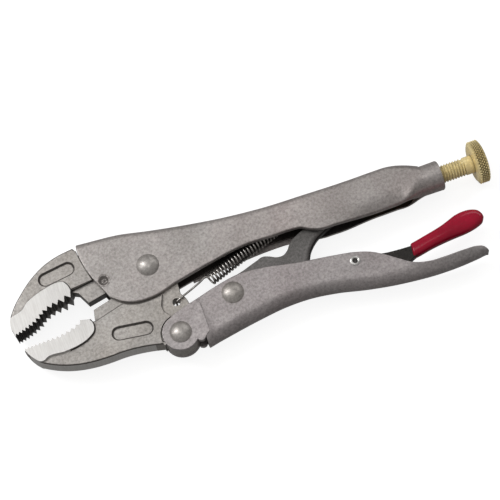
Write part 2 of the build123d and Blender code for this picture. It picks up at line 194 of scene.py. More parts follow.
def rounded_steps(low, high, radius, bulge=0.0, parts=4):
    """Rings of a plate whose two rims are rounded, its wall bulging a little at mid height."""
    a = np.radians(np.linspace(0, 90, parts + 1))
    bottom = [(radius * (1 - sin(t)), low + radius * (1 - cos(t))) for t in a]
    top = [(inset, low + high - z) for inset, z in bottom[::-1]]
    return bottom + [(-bulge, (low + high) / 2)] + top


def lathe(name, profile, centre, axis="Z", steps=64):
    """A turned piece: (radius, height) points from one end to the other, closed at both ends."""
    a = np.linspace(0, 2 * pi, steps, endpoint=False)
    rings = []
    for radius, height in profile:
        r = max(radius, 0.004)
        ring = np.column_stack([r * np.cos(a), r * np.sin(a), np.full(steps, height)])
        if axis == "X":
            ring = ring[:, [2, 0, 1]]
        rings.append(ring + np.array(centre, float))
    return ring_solid(name, rings)


def tube(name, path, radius, sides=12):
    """Round wire along a path of points in space, with rounded ends."""
    p = np.array(path, float)
    along = np.gradient(p, axis=0)
    along /= np.linalg.norm(along, axis=1)[:, None]
    up = np.array([0.0, 0.0, 1.0]) if abs(along[0][2]) < 0.8 else np.array([0.0, 1.0, 0.0])
    a = np.linspace(0, 2 * pi, sides, endpoint=False)
    side = np.cross(up, along[0])
    frames = []
    for t in along:
        side = side - t * np.dot(side, t)
        side /= np.linalg.norm(side)
        frames.append((side.copy(), np.cross(t, side)))
    for end in (0, -1):
        cap = []
        for u in (0.95, 0.7, 0.38):
            shift = (radius * u) * (-1 if end == 0 else 1)
            cap.append((p[end] + along[end] * shift, sqrt(1 - u * u) * radius, frames[end]))
        caps = cap if end == 0 else cap[::-1]
        body = [(p[i], radius, frames[i]) for i in range(len(p))]
        rings = caps + body if end == 0 else rings + caps
    out = [c + r * (np.outer(np.cos(a), f[0]) + np.outer(np.sin(a), f[1])) for c, r, f in rings]
    return ring_solid(name, out)


# %% [markdown]
# A real forging has pockets, grooves and drilled holes. A boolean does what the drill or the
# cutter did. The result is read back as a plain mesh, so no modifier stays on the piece.

# %% Helpers for cutting, joining and finishing
def baked(obj):
    """Turns an object's modifiers into its plain mesh."""
    graph = bpy.context.evaluated_depsgraph_get()
    mesh = bpy.data.meshes.new_from_object(obj.evaluated_get(graph))
    obj.modifiers.clear()
    obj.data = mesh
    return obj


def combine(obj, other, how):
    """Cuts another solid out of a piece, or joins it on, and drops the other."""
    mod = obj.modifiers.new("combine", "BOOLEAN")
    mod.operation = how
    mod.solver = "EXACT"
    mod.object = other
    baked(obj)
    bpy.data.objects.remove(other)
    return obj


def cut(obj, other):
    return combine(obj, other, "DIFFERENCE")


def unite(obj, other):
    return combine(obj, other, "UNION")


def drilled(obj, centre, radius, depth=30.0):
    """A round hole through a piece, along the thickness."""
    return cut(obj, lathe("drill", [(radius, -depth / 2), (radius, depth / 2)], (*centre, 0.0), steps=48))


def together(obj, *others):
    """Several closed shells as one object."""
    work = bmesh.new()
    for o in (obj, *others):
        work.from_mesh(o.data)
    work.to_mesh(obj.data)
    work.free()
    for o in others:
        bpy.data.objects.remove(o)
    return obj


def finished(obj, body, material, *nodes, sharp=35, extra=(), choose=None):
    """Smooth shading with crisp edges, materials, a body to ride on, the CAD nodes it stands for."""
    obj.data.set_sharp_from_angle(angle=radians(sharp))
    obj.data.shade_smooth()
    obj.data.set_sharp_from_angle(angle=radians(sharp))
    mod = obj.modifiers.new("even", "WEIGHTED_NORMAL")
    mod.keep_sharp = True
    mod.weight = 80
    baked(obj)
    which = [f.material_index for f in obj.data.polygons]
    obj.data.materials.clear()
    for m in (material, *extra):
        obj.data.materials.append(m)
    for f, old in zip(obj.data.polygons, which):
        f.material_index = min(choose(f, old) if choose else old, len(extra))
    if body:
        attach(obj, body)
    if nodes:
        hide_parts(*nodes)
    obj.data.calc_loop_triangles()
    print(obj.name, len(obj.data.loop_triangles), "triangles")
    return obj


# %% [markdown]
# ## Camera and light
# The camera looks down at the tool from its handle side, a long lens well back. A large soft key
# from the upper left gives the rivet heads their bright sides and two weaker ones fill. The
# surround is brighter towards that side, and the camera itself sees plain white behind the floor.

# %% Camera
camera_data = bpy.data.cameras.new("camera")
camera_data.lens = 128.9
camera_data.sensor_width = 36.0
camera_data.clip_end = 20.0
camera = placed("camera", camera_data)
bpy.context.scene.camera = camera
RIGHT = Vector((0.94155, -0.33126, -0.06124))
UP = Vector((0.33003, 0.87060, 0.36487))
TOWARDS = Vector((-0.06755, -0.36376, 0.92904))
turn = Matrix((RIGHT, UP, TOWARDS)).transposed().to_4x4()
camera.matrix_world = Matrix.Translation((-0.00989, -0.33644, 0.83841 + MID)) @ turn
print("camera at", tuple(round(c, 3) for c in camera.location))

# %% Lights
def soft_light(name, right, up, towards, size, power, tint=(1, 1, 1)):
    """A square light placed about the tool as seen from the camera, facing it."""
    data = bpy.data.lights.new(name, "AREA")
    data.shape = "RECTANGLE"
    data.size, data.size_y = size
    data.energy = power
    data.color = tint
    light = placed(name, data)
    middle = Vector((0.05, -0.015, MID))
    light.location = middle + RIGHT * right + UP * up + TOWARDS * towards
    light.rotation_euler = (middle - light.location).to_track_quat("-Z", "Y").to_euler()
    return light


soft_light("key", -0.75, 0.55, 0.6, (0.45, 0.35), 5.0)
soft_light("top", -0.25, 0.6, 1.2, (0.8, 0.6), 2.0)
soft_light("rim", 0.35, 0.9, 0.35, (0.8, 0.3), 1.2)
world = bpy.data.worlds.new("surround")
bpy.context.scene.world = world
world.use_nodes = True
sky = world.node_tree
looking = sky.nodes.new("ShaderNodeTexCoord")
towards_light = sky.nodes.new("ShaderNodeVectorMath")
towards_light.operation = "DOT_PRODUCT"
towards_light.inputs[1].default_value = (-0.50, 0.52, 0.69)
sky.links.new(looking.outputs["Generated"], towards_light.inputs[0])
spread_light = sky.nodes.new("ShaderNodeMapRange")
spread_light.inputs["From Min"].default_value = -1.0
spread_light.inputs["From Max"].default_value = 1.0
spread_light.inputs["To Min"].default_value = 0.2
spread_light.inputs["To Max"].default_value = 0.42
sky.links.new(towards_light.outputs["Value"], spread_light.inputs["Value"])
surround = sky.nodes["Background"]
surround.inputs["Color"].default_value = (1.0, 0.985, 0.97, 1)
sky.links.new(spread_light.outputs["Result"], surround.inputs["Strength"])
plain = sky.nodes.new("ShaderNodeBackground")
plain.inputs["Color"].default_value = (1.0, 1.0, 1.0, 1)
choose = sky.nodes.new("ShaderNodeMixShader")
ray_kind = sky.nodes.new("ShaderNodeLightPath")
sky.links.new(ray_kind.outputs["Is Camera Ray"], choose.inputs[0])
sky.links.new(surround.outputs[0], choose.inputs[1])
sky.links.new(plain.outputs[0], choose.inputs[2])
sky.links.new(choose.outputs[0], sky.nodes["World Output"].inputs["Surface"])
bpy.context.scene.view_settings.view_transform = "Standard"

# %% Floor
floor_low = min(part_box(n)[0].z for n in frame["nodes"])
edge = 3.0
floor_mesh = bpy.data.meshes.new("floor")
corners = [
    (-edge, -edge, floor_low), (edge, -edge, floor_low), (edge, edge, floor_low), (-edge, edge, floor_low),
]
floor_mesh.from_pydata(corners, [], [(0, 1, 2, 3)])
floor = placed("floor", floor_mesh)
floor.visible_diffuse = False
floor.visible_glossy = False
print("floor at", floor_low)


# %% [markdown]
# ## Finishes
# Each finish is a node material on Object coordinates, so its grain stays at its real size. An
# ambient occlusion that looks only at the piece itself darkens its inner corners: painted shade.

# %% Material helpers
def new_material(name, **shader):
    """A material with one principled shader, its plain values set on the shader's own sockets."""
    mat = bpy.data.materials.new(name)
    mat.use_nodes = True
    bsdf = mat.node_tree.nodes["Principled BSDF"]
    for key, value in shader.items():
        bsdf.inputs[key.replace("_", " ")].default_value = value
    return mat, mat.node_tree, bsdf


def feed(tree, socket, value):
    """Links a socket to another one, or sets its plain value."""
    if isinstance(value, bpy.types.NodeSocket):
        tree.links.new(value, socket)
    else:
        socket.default_value = value


def node(tree, kind, **values):
    """A node with some of its inputs or settings given by name, inputs as values or sockets."""
    n = tree.nodes.new(kind)
    for key, value in values.items():
        if key.replace("_", " ") in n.inputs:
            feed(tree, n.inputs[key.replace("_", " ")], value)
        else:
            setattr(n, key, value)
    return n


def noise(tree, where, scale, detail=4.0, roughness=0.55, stretch=None, turn=0.0):
    """A noise pattern on object coordinates, its scale in cycles per metre."""
    if stretch is not None:
        mapping = node(tree, "ShaderNodeMapping", Vector=where, Scale=stretch, Rotation=(0, 0, turn))
        where = mapping.outputs["Vector"]
    n = node(tree, "ShaderNodeTexNoise", Vector=where, Scale=scale, Detail=detail, Roughness=roughness)
    return n.outputs["Fac"]


def ramp(tree, value, stops):
    """A colour ramp, stops as (place, colour)."""
    n = tree.nodes.new("ShaderNodeValToRGB")
    e = n.color_ramp.elements
    while len(e) < len(stops):
        e.new(0.5)
    for element, (place, colour) in zip(e, stops):
        element.position = place
        element.color = (*colour, 1.0) if len(colour) == 3 else colour
    tree.links.new(value, n.inputs["Fac"])
    return n.outputs["Color"]


def mixed(tree, fac, a, b, how="MIX"):
    """Two colours mixed, each a socket or a plain colour."""
    n = node(tree, "ShaderNodeMix", data_type="RGBA", blend_type=how)
    for socket, value in ((n.inputs[0], fac), (n.inputs[6], a), (n.inputs[7], b)):
        feed(tree, socket, (*value, 1.0) if isinstance(value, tuple) else value)
    return n.outputs[2]


def bump(tree, bsdf, height, strength, distance):
    """Small relief from a height pattern."""
    n = node(tree, "ShaderNodeBump", Strength=strength, Distance=distance, Height=height)
    tree.links.new(n.outputs["Normal"], bsdf.inputs["Normal"])


# %% Steel finishes
def corner_shade_painted(tree, colour, darkest_corner_shade, reach=0.0016):
    """Paints shade into a colour: darkens it in the piece's own inner corners, found by ambient occlusion."""
    shade = tree.nodes.new("ShaderNodeAmbientOcclusion")
    shade.samples = 8
    shade.only_local = True
    shade.inputs["Distance"].default_value = reach
    painted_corner_shade = ramp(tree, shade.outputs["AO"], [(0.45, (darkest_corner_shade,) * 3), (0.85, (1.0, 1.0, 1.0))])
    return mixed(tree, 1.0, colour, painted_corner_shade, "MULTIPLY")


def blasted_steel(name, light, dark, tint, metallic=0.75, roughness=0.42, grain=0.25, darkest_corner_shade=0.32):
    """Satin steel blown with fine grit: a soft mottle, a fine grain, a slightly uneven gloss and painted
    shade in the inner corners.
    """
    mat, tree, bsdf = new_material(name, Metallic=metallic, Roughness=roughness)
    where = tree.nodes.new("ShaderNodeTexCoord").outputs["Object"]
    cloud = noise(tree, where, 55.0, 5.0)
    speck = noise(tree, where, 750.0, 3.0, 0.75)
    base = ramp(tree, cloud, [(0.3, dark), (0.7, light)])
    warm = ramp(tree, noise(tree, where, 23.0, 3.0), [(0.4, (1, 1, 1)), (0.75, tint)])
    colour = mixed(tree, 1.0, base, warm, "MULTIPLY")
    grainy = ramp(tree, speck, [(0.3, (0.66, 0.66, 0.66)), (0.66, (1.12, 1.12, 1.12))])
    colour = mixed(tree, 1.0, colour, grainy, "MULTIPLY")
    # painted shade: the base colour is darkened in the piece's inner corners
    tree.links.new(corner_shade_painted(tree, colour, darkest_corner_shade), bsdf.inputs["Base Color"])
    gloss = ramp(tree, speck, [(0.2, (roughness + 0.12,) * 3), (0.8, (roughness - 0.06,) * 3)])
    tree.links.new(gloss, bsdf.inputs["Roughness"])
    bump(tree, bsdf, noise(tree, where, 1500.0, 3.0, 0.7), grain, 0.0002)
    return mat


floor_mat, tree, bsdf = new_material("pale_floor", Roughness=0.9)
bsdf.inputs["Base Color"].default_value = (0.3, 0.3, 0.3, 1)
bsdf.inputs["Specular IOR Level"].default_value = 0.0
bsdf.inputs["Emission Color"].default_value = (1.0, 1.0, 1.0, 1)
bsdf.inputs["Emission Strength"].default_value = 0.86
floor.data.materials.append(floor_mat)

handle_steel = blasted_steel("handle_steel", (0.47, 0.445, 0.43), (0.36, 0.335, 0.32), (0.97, 0.92, 0.92))
moving_steel = blasted_steel(
    "moving_handle_steel", (0.44, 0.415, 0.41), (0.34, 0.315, 0.31), (0.96, 0.92, 0.93),
)
jaw_steel = blasted_steel("forged_jaw_steel", (0.44, 0.42, 0.40), (0.33, 0.31, 0.29), (0.97, 0.94, 0.9))
# painted shade: the inside faces of both channels are coloured nearly black, where shade falls
channel_inside_shade_steel = blasted_steel(
    "oily_channel_steel", (0.10, 0.09, 0.085), (0.05, 0.045, 0.042), (0.95, 0.9, 0.88), roughness=0.45,
)
tooth_steel = blasted_steel(
    "blackened_teeth", (0.17, 0.16, 0.15), (0.05, 0.046, 0.044), (0.95, 0.92, 0.9), roughness=0.32,
    grain=0.5,
)
rivet_steel = blasted_steel(
    "rivet_steel", (0.50, 0.475, 0.455), (0.38, 0.36, 0.34), (0.98, 0.95, 0.92), roughness=0.38,
)
link_steel = blasted_steel(
    "link_steel", (0.20, 0.19, 0.185), (0.12, 0.115, 0.11), (0.95, 0.95, 0.95), roughness=0.5, grain=0.5,
)
dark_steel = blasted_steel(
    "lever_steel", (0.05, 0.046, 0.042), (0.02, 0.018, 0.017), (0.95, 0.95, 0.95), roughness=0.4,
)
weld_steel = blasted_steel(
    "weld_metal", (0.42, 0.39, 0.37), (0.20, 0.18, 0.17), (0.9, 0.85, 0.8), roughness=0.36, grain=0.8,
)
# painted shade: a dark colour for the sloped rims of the jaws, standing in for their shaded edge line
painted_rim_shade_steel = blasted_steel(
    "shaded_rim_steel", (0.17, 0.16, 0.15), (0.11, 0.10, 0.095), (0.95, 0.92, 0.9), roughness=0.5,
)
spring_steel = blasted_steel(
    "spring_steel", (0.50, 0.48, 0.46), (0.30, 0.29, 0.28), (0.97, 0.95, 0.93), metallic=0.95,
    roughness=0.25,
)
pin_steel = blasted_steel(
    "pin_steel", (0.70, 0.69, 0.67), (0.5, 0.49, 0.48), (0.98, 0.98, 0.97), roughness=0.28,
)
# the brass takes the same painted shade in its inner corners and knurl valleys
brass = blasted_steel(
    "yellow_brass", (1.0, 0.87, 0.50), (1.0, 0.80, 0.38), (1.0, 0.96, 0.86), metallic=0.2, roughness=0.22,
    grain=0.1, darkest_corner_shade=0.3,
)

# %% [markdown]
# The pads and the outer walls of the jaws are ground. A noise stretched far along one direction
# turns into the fine straight lines that a grinding belt leaves.

# %% Ground steel
def ground_finish():
    """Bright steel off the grinding belt: fine straight lines across the pad, hardly any mottle."""
    mat, tree, bsdf = new_material("ground_pad_steel", Metallic=0.6, Roughness=0.38)
    where = tree.nodes.new("ShaderNodeTexCoord").outputs["Object"]
    lines = noise(tree, where, 1.0, 3.0, 0.6, stretch=(1900.0, 120.0, 120.0), turn=radians(-14))
    cloud = noise(tree, where, 90.0, 3.0)
    colour = ramp(tree, lines, [(0.3, (0.60, 0.585, 0.565)), (0.65, (0.70, 0.69, 0.672))])
    shade = ramp(tree, cloud, [(0.3, (0.9, 0.9, 0.9)), (0.7, (1.0, 1.0, 1.0))])
    tree.links.new(mixed(tree, 1.0, colour, shade, "MULTIPLY"), bsdf.inputs["Base Color"])
    bump(tree, bsdf, lines, 0.3, 0.0001)
    return mat


ground_steel = ground_finish()

# %% [markdown]
# The grip is dipped plastic: an even deep red, a low coat on top and a very shallow ripple.

# %% Dipped plastic
grip_plastic, tree, bsdf = new_material("grip_plastic", Roughness=0.16, Metallic=0.0)
where = tree.nodes.new("ShaderNodeTexCoord").outputs["Object"]
tree.links.new(
    ramp(tree, noise(tree, where, 60.0, 3.0), [(0.3, (0.26, 0.001, 0.017)), (0.7, (0.40, 0.002, 0.028))]),
    bsdf.inputs["Base Color"],
)
bsdf.inputs["Specular IOR Level"].default_value = 0.3
bsdf.inputs["Coat Weight"].default_value = 0.15
bsdf.inputs["Coat Roughness"].default_value = 0.06
bump(tree, bsdf, noise(tree, where, 90.0, 2.0), 0.12, 0.0008)
print("materials", len(bpy.data.materials))


# %% [markdown]
# ## Folded sheet channels
# Both handles are channels folded from sheet steel. A cross-section is drawn from the middle of
# the spine, round the corner, down the cheek and round the cut edge, then back inside. Placing
# that section along two lines, the spine and the cut edge, gives the whole handle as one skin.

# %% The channel helper
def half_section(depth, w, rd, rz, rb, gap, fold, thick, web, tuck=0.0, span=6.0):
    """One half of a channel section as (depth, width) points: the outside, then the inside.

    The cut edge may be tucked in, or flared out with a negative tuck, over the last span of depth.
    """
    a = np.radians(np.linspace(0, 90, 11))
    b = np.radians(np.linspace(0, 90, 7))
    flat = np.linspace(0, 1, 4)
    low = depth - rb
    outer = [(0, z * (w - rz)) for z in flat]
    outer += [(rd * (1 - cos(t)), w - rz + rz * sin(t)) for t in a[1:]]
    outer += [(rd + u * (low - rd), w) for u in np.linspace(0, 1, 13)[1:]]
    outer += [(low + rb * sin(t), w - rb * (1 - cos(t))) for t in b[1:]]
    outer += [(depth, w - rb - u * (w - rb - gap)) for u in flat[1:]]
    ri = max(rb - thick, 0.25) * fold
    rdi, rzi = max(rd - web, 0.3), max(rz - thick, 0.3)
    wi = w - thick
    base = depth - thick * fold
    inner = [(web, z * (wi - rzi)) for z in flat]
    inner += [(web + rdi * (1 - cos(t)), wi - rzi + rzi * sin(t)) for t in a[1:]]
    inner += [(web + rdi + u * (base - ri - web - rdi), wi) for u in np.linspace(0, 1, 13)[1:]]
    inner += [(base - ri + ri * sin(t), wi - ri * (1 - cos(t))) for t in b[1:]]
    inner += [(base, wi - ri - u * (wi - ri - gap)) for u in flat[1:]]
    outer, inner = np.array(outer), np.array(inner)
    for run in (outer, inner):
        run[:, 1] -= tuck * np.clip((run[:, 0] - (depth - span)) / span, 0, 1) ** 2
    return outer, inner


def channel(name, top, lip, sizes, bow=None, edge=(0.45, 0.45)):
    """A channel skin from spine points, cut-edge points and one row of section sizes each."""
    rings = []
    for i in range(len(top)):
        across = lip[i] - top[i]
        depth = np.linalg.norm(across)
        across = across / depth
        outer, inner = half_section(depth, *sizes[i])
        half = np.concatenate([outer, inner[::-1]])
        both = np.concatenate([half, (half * (1, -1))[::-1]])
        flat = top[i] + across * both[:, :1]
        if bow is not None:
            flat[:, 0] -= bow(i, both[:, 0] / depth)
        rings.append(np.column_stack([flat, both[:, 1]]))
    m, n = len(outer), 2 * (len(outer) + len(inner))
    partner = np.concatenate([np.arange(n // 2)[::-1], np.arange(n // 2, n)[::-1]])
    for end, r in zip((0, -1), edge):
        here, next_in = rings[end], rings[1 if end == 0 else -2]
        ahead = here - next_in
        ahead /= np.linalg.norm(ahead, axis=1)[:, None]
        middle = (here + here[partner]) / 2 - here
        reach = np.maximum(np.linalg.norm(middle, axis=1), 0.01)[:, None]
        extra = []
        for t in np.radians((30, 60, 90)):
            inset = np.minimum(r * (1 - cos(t)), reach * 0.8)
            extra.append(here + ahead * r * sin(t) + middle / reach * inset)
        rings = extra[::-1] + rings if end == 0 else rings + extra
    verts = np.concatenate(rings)
    faces = ring_faces(len(rings), n)
    last = (len(rings) - 1) * n
    for start in (0, n // 2):
        for i in range(start, start + m - 1):
            p, q = partner[i], partner[i + 1]
            faces.append((i, i + 1, q, p))
            faces.append((last + i, last + p, last + q, last + i + 1))
    # inside faces take the second material, the painted shade of the channel's inside
    inside = [m <= k % n < n - m - 1 for k in range((len(rings) - 1) * n)]
    return to_object(name, verts, faces, inside)


def along_x(points, xs):
    """Heights of a smooth line through drawn points, read at the given places along the tool."""
    p = smooth_path(points, 900)
    order = np.argsort(p[:, 0])
    return np.interp(xs, p[order, 0], p[order, 1])


# %% [markdown]
# ## Fixed handle
# The front is a deep cheek that hides the jaw pivot; its lower edge is one big round. Behind it
# the channel narrows to a grip, widens to clear the screw, and is drawn in to a threaded tube.
# Its rear edges are tucked in towards the middle plane. A tab inside holds the spring, and a
# plate inside the far cheek makes that cheek reach a little lower.

# %% Fixed handle
BACK = [
    (-30.6, 24.0), (-23.6, 23.4), (-9.1, 21.9), (4.8, 18.8), (22, 15.4), (42.4, 12.1), (63.2, 10.0),
    (84.5, 8.9),
]
BACK += [(110, 8.3), (122, 8.4), (130, 8.3), (136, 7.6), (142, 5.9), (145.5, 4.3)]
LIP = [
    (-22.6, -9.9), (-18.3, -13.6), (-13.5, -15.9), (-6.5, -17.0), (1.1, -16.3), (9.3, -14.0), (17.2, -12.3),
]
LIP += [
    (30, -9.7), (52, -6.7), (63, -7.2), (74.9, -7.6), (78.5, -8.2), (81.7, -10.2), (86.7, -12.4),
    (95.6, -13.0),
]
LIP += [(117, -13), (128, -12.9), (136, -12.6), (141.2, -11.9), (145.5, -11.4)]
spread = np.concatenate([
    np.linspace(-30.6, 30, 90), np.linspace(30.7, 124, 90)[1:], np.linspace(124.5, 145.5, 40),
])
top = np.column_stack([spread, along_x(BACK, spread)])
shift = 8.0 * (1 - np.clip((spread + 30.6) / 52.0, 0, 1)) ** 2
lip = np.column_stack([spread + shift, along_x(LIP, spread + shift)])
closing = ease(spread, 133, 142.5)
rows = []
for x, c in zip(spread, closing):
    w = FRONT_HALF + 1.05 * ease(x, 62, 90) + 0.1 * c
    corner = 3.6 + 3.7 * ease(x, 128, 145)
    tuck = 2.9 * ease(x, 96, 118) * (1 - ease(x, 128, 140))
    rows.append((
        w, corner, corner, 0.8 + 6.5 * ease(x, 131, 144.5), (w - SHEET) * (1 - c) + 0.12, c, SHEET, SHEET,
        tuck, 11.0,
    ))
bend = lambda i, u: np.interp(u, [0, 0.12, 0.28, 0.45, 0.63, 0.84, 1], [0, 1.3, 2.4, 2.7, 2.3, 0.9, 0]) * (
    1 - ease(spread[i], -30.6, -8)
)
fixed_handle = channel("fixed_handle_sheet", top, lip, rows, bow=bend, edge=(0.5, 0.3))
boss = [
    (4.75, 143.0), (7.1, 143.0), (7.6, 145.0), (7.75, 154.6), (7.65, 155.0), (7.3, 155.3), (5.0, 155.4),
    (4.72, 155.1),
]
ring = lathe("boss", boss, (0.0, SCREW_Y, 0.0), axis="X", steps=72)
finish_boss = bmesh.new()
finish_boss.from_mesh(ring.data)
caps = [f for f in finish_boss.faces if len(f.verts) > 6]
bmesh.ops.delete(finish_boss, geom=caps, context="FACES_ONLY")
open_edges = [e for e in finish_boss.edges if e.is_boundary]
bmesh.ops.bridge_loops(finish_boss, edges=open_edges)
bmesh.ops.recalc_face_normals(finish_boss, faces=finish_boss.faces)
finish_boss.to_mesh(ring.data)
finish_boss.free()
together(fixed_handle, ring)
drilled(fixed_handle, WELD, WELD_HOLE_R, 40.0)
tab = plate("tab", [(75.8, -1.1), (81.2, -1.1), (81.2, 7.9), (75.8, 7.9)], rounded_steps(-0.9, 0.9, 0.25))
unite(fixed_handle, drilled(tab, (77.93, 1.42), 1.3))
skirt = smooth_path(
    [(19, -12.9), (30, -12.0), (45, -10.7), (60, -9.9), (72, -10.2), (80, -11.9), (88, -13.0)], 50,
)
skirt = joined(skirt, [(88, -10.5), (78, -6.5), (52, -5.2), (30, -8.0), (19, -10.2)])
unite(fixed_handle, plate("far_skirt", skirt, rounded_steps(-6.3, -4.95, 0.3)))
finished(fixed_handle, "fixed_side", handle_steel, "fixed_handle", extra=(channel_inside_shade_steel,))


# %% [markdown]
# ## Moving handle
# The same folded channel upside down: a round belly below, cut edges above. At the front its
# cheeks spread a little and run on as two flat ears round the jaw's tail; at the back the channel
# runs out to a shallow scoop with a closed, rounded nose.

# %% Moving handle
BELLY = [
    (15.7, -49.7), (26.6, -47.7), (43.5, -44.9), (58, -43.2), (70.6, -43.2), (84, -45.1), (99.3, -48.8),
]
BELLY += [(115, -51.7), (134.7, -53.6), (150, -53.4), (158, -52.6), (162.4, -51.8)]
EDGE = [(13.0, -26.7), (25.6, -23.1), (41.4, -20.3), (54.2, -21.5), (71.8, -25.2), (78, -26.1), (89, -27.8)]
EDGE += [
    (98.5, -29.6), (107.4, -32.8), (112.5, -36.0), (119, -41.1), (124.4, -44.9), (132.4, -47.3),
    (140, -47.7),
]
EDGE += [(150, -47.7), (157, -48.1), (160.7, -49.2), (162.4, -50.8)]
spread = np.concatenate([np.linspace(15.7, 150, 170), np.linspace(150.6, 162.2, 30)])
spine = np.column_stack([spread, along_x(BELLY, spread)])
shift = -1.6 * (1 - ease(spread, 15.7, 30))
cut_edge = np.column_stack([spread + shift, along_x(EDGE, spread + shift)])
rows = []
for x, low, high in zip(spread, spine, cut_edge):
    depth = np.linalg.norm(high - low)
    nose = sqrt(max(1 - max((x - 156.4) / 6.2, 0) ** 2, 0.0))
    w = (BELLY_HALF + 0.5 * (1 - ease(x, 16.4, 21.0))) * (0.25 + 0.75 * nose)
    web = SHEET + (depth * 0.92 - SHEET) * ease(x, 155.5, 161)
    rz = min(5.4, w - 0.1)
    flare = 1.2 * ease(x, 104, 132) * (1 - ease(x, 155, 161.5))
    w, rz = w - flare, rz - flare
    rows.append((
        w, min(6.4, depth - 1.3), rz, 0.6, max(w - SHEET, 0.25), 0.0, min(SHEET, w * 0.7), web, -flare,
        depth * 0.8,
    ))
moving_handle = channel("moving_handle_sheet", spine, cut_edge, rows, edge=(0.2, 0.25))
ear = joined(
    arc(HANDLE_PIVOT, 9.3, 106, 318, 60),
    smooth_path([(11.2, -46.3), (12.6, -47.1), (14.2, -47.0), (15.4, -45.8)], 10),
    [(18.2, -43.5), (18.2, -28.5), (16.4, -25.9)],
    smooth_path([(12.3, -26.8), (7.6, -28.1), (4.0, -29.3), (1.9, -30.4)], 8),
)
for side in (1, -1):
    low, high = sorted((side * 3.84, side * 6.36))
    unite(moving_handle, plate("ear", ear, rounded_steps(low, high, 0.35)))
drilled(moving_handle, HANDLE_PIVOT, RIVET_R)
drilled(moving_handle, LINK_PIVOT, RIVET_R)
drilled(moving_handle, LEVER_PIVOT, LEVER_PIN_R)
finished(moving_handle, "handle", moving_steel, "moving_handle", extra=(channel_inside_shade_steel,))

# %% [markdown]
# ## Teeth by a rule
# The jaw teeth are grooves milled across the jaw. They grow from the nose towards the throat, so
# a Geometry Nodes tree places one wedge-shaped cutter for each groove along the root line, each
# a fixed ratio larger than the last. A boolean then mills the grooves one after another.

# %% Tooth cutter tree
def new_tree(name, *inputs):
    """A geometry tree and its inputs, each given as (name, kind of socket, first value)."""
    tree = bpy.data.node_groups.new(name, "GeometryNodeTree")
    new_socket = tree.interface.new_socket
    new_socket(name="Geometry", in_out="INPUT", socket_type="NodeSocketGeometry")
    new_socket(name="Geometry", in_out="OUTPUT", socket_type="NodeSocketGeometry")
    for label, kind, *value in inputs:
        socket = new_socket(name=label, in_out="INPUT", socket_type="NodeSocket" + kind)
        if value:
            socket.default_value = value[0]
    return tree, tree.nodes.new("NodeGroupInput").outputs


def handed_out(tree, given, pieces):
    """Makes the pieces real, gives them the material and ends the tree."""
    real = node(tree, "GeometryNodeRealizeInstances", Geometry=pieces).outputs[0]
    painted = node(tree, "GeometryNodeSetMaterial", Geometry=real, Material=given["Material"]).outputs[0]
    node(tree, "NodeGroupOutput", Geometry=painted)
    return tree


def maths(tree, how, a, b=0.0):
    """The result of a sum on two numbers or sockets."""
    n = node(tree, "ShaderNodeMath", operation=how)
    feed(tree, n.inputs[0], a)
    feed(tree, n.inputs[1], b)
    return n.outputs[0]


def vector(tree, x, y, z):
    """A vector from three numbers or sockets."""
    return node(tree, "ShaderNodeCombineXYZ", X=x, Y=y, Z=z).outputs[0]


def run_tree(name, tree, source=None, **values):
    """Runs a node tree on an object, its inputs set by identifier, and bakes the result."""
    obj = placed(name, source or bpy.data.meshes.new(name))
    mod = obj.modifiers.new("shape", "NODES")
    mod.node_group = tree
    for item in tree.interface.items_tree:
        key = item.name.replace(" ", "_")
        if item.item_type == "SOCKET" and item.in_out == "INPUT" and key in values:
            mod[item.identifier] = values[key]
    return baked(obj)


def tooth_tree():
    """Wedges along a root line: each one is the growth ratio larger than the one before."""
    tree, given = new_tree(
        "tooth_cutters", ("Wedge", "Object"), ("Count", "Int", 12), ("Growth", "Float", 1.07),
        ("Material", "Material"),
    )
    growth = given["Growth"]
    line = node(tree, "GeometryNodeMeshToCurve", Mesh=given["Geometry"]).outputs[0]
    length = node(tree, "GeometryNodeCurveLength", Curve=line).outputs[0]
    points = node(tree, "GeometryNodePoints", Count=given["Count"]).outputs[0]
    index = node(tree, "GeometryNodeInputIndex").outputs[0]
    total = maths(tree, "SUBTRACT", maths(tree, "POWER", growth, given["Count"]), 1.0)
    here = maths(tree, "SUBTRACT", maths(tree, "POWER", growth, maths(tree, "ADD", index, 0.5)), 1.0)
    factor = maths(tree, "DIVIDE", here, total)
    step = maths(
        tree, "MULTIPLY", maths(tree, "POWER", growth, index), maths(tree, "SUBTRACT", growth, 1.0),
    )
    pitch = maths(tree, "MULTIPLY", maths(tree, "DIVIDE", step, total), length)
    sample = node(tree, "GeometryNodeSampleCurve", mode="FACTOR", Curves=line, Factor=factor).outputs
    align = node(tree, "FunctionNodeAlignRotationToVector", axis="X", Vector=sample["Tangent"])
    place = node(tree, "GeometryNodeSetPosition", Geometry=points, Position=sample["Position"])
    wedge = node(tree, "GeometryNodeObjectInfo", Object=given["Wedge"])
    put = node(
        tree, "GeometryNodeInstanceOnPoints", Points=place.outputs[0], Instance=wedge.outputs["Geometry"],
        Rotation=align.outputs[0], Scale=vector(tree, pitch, pitch, 1.0),
    )
    return handed_out(tree, given, put.outputs[0])


TOOTH_TREE = tooth_tree()


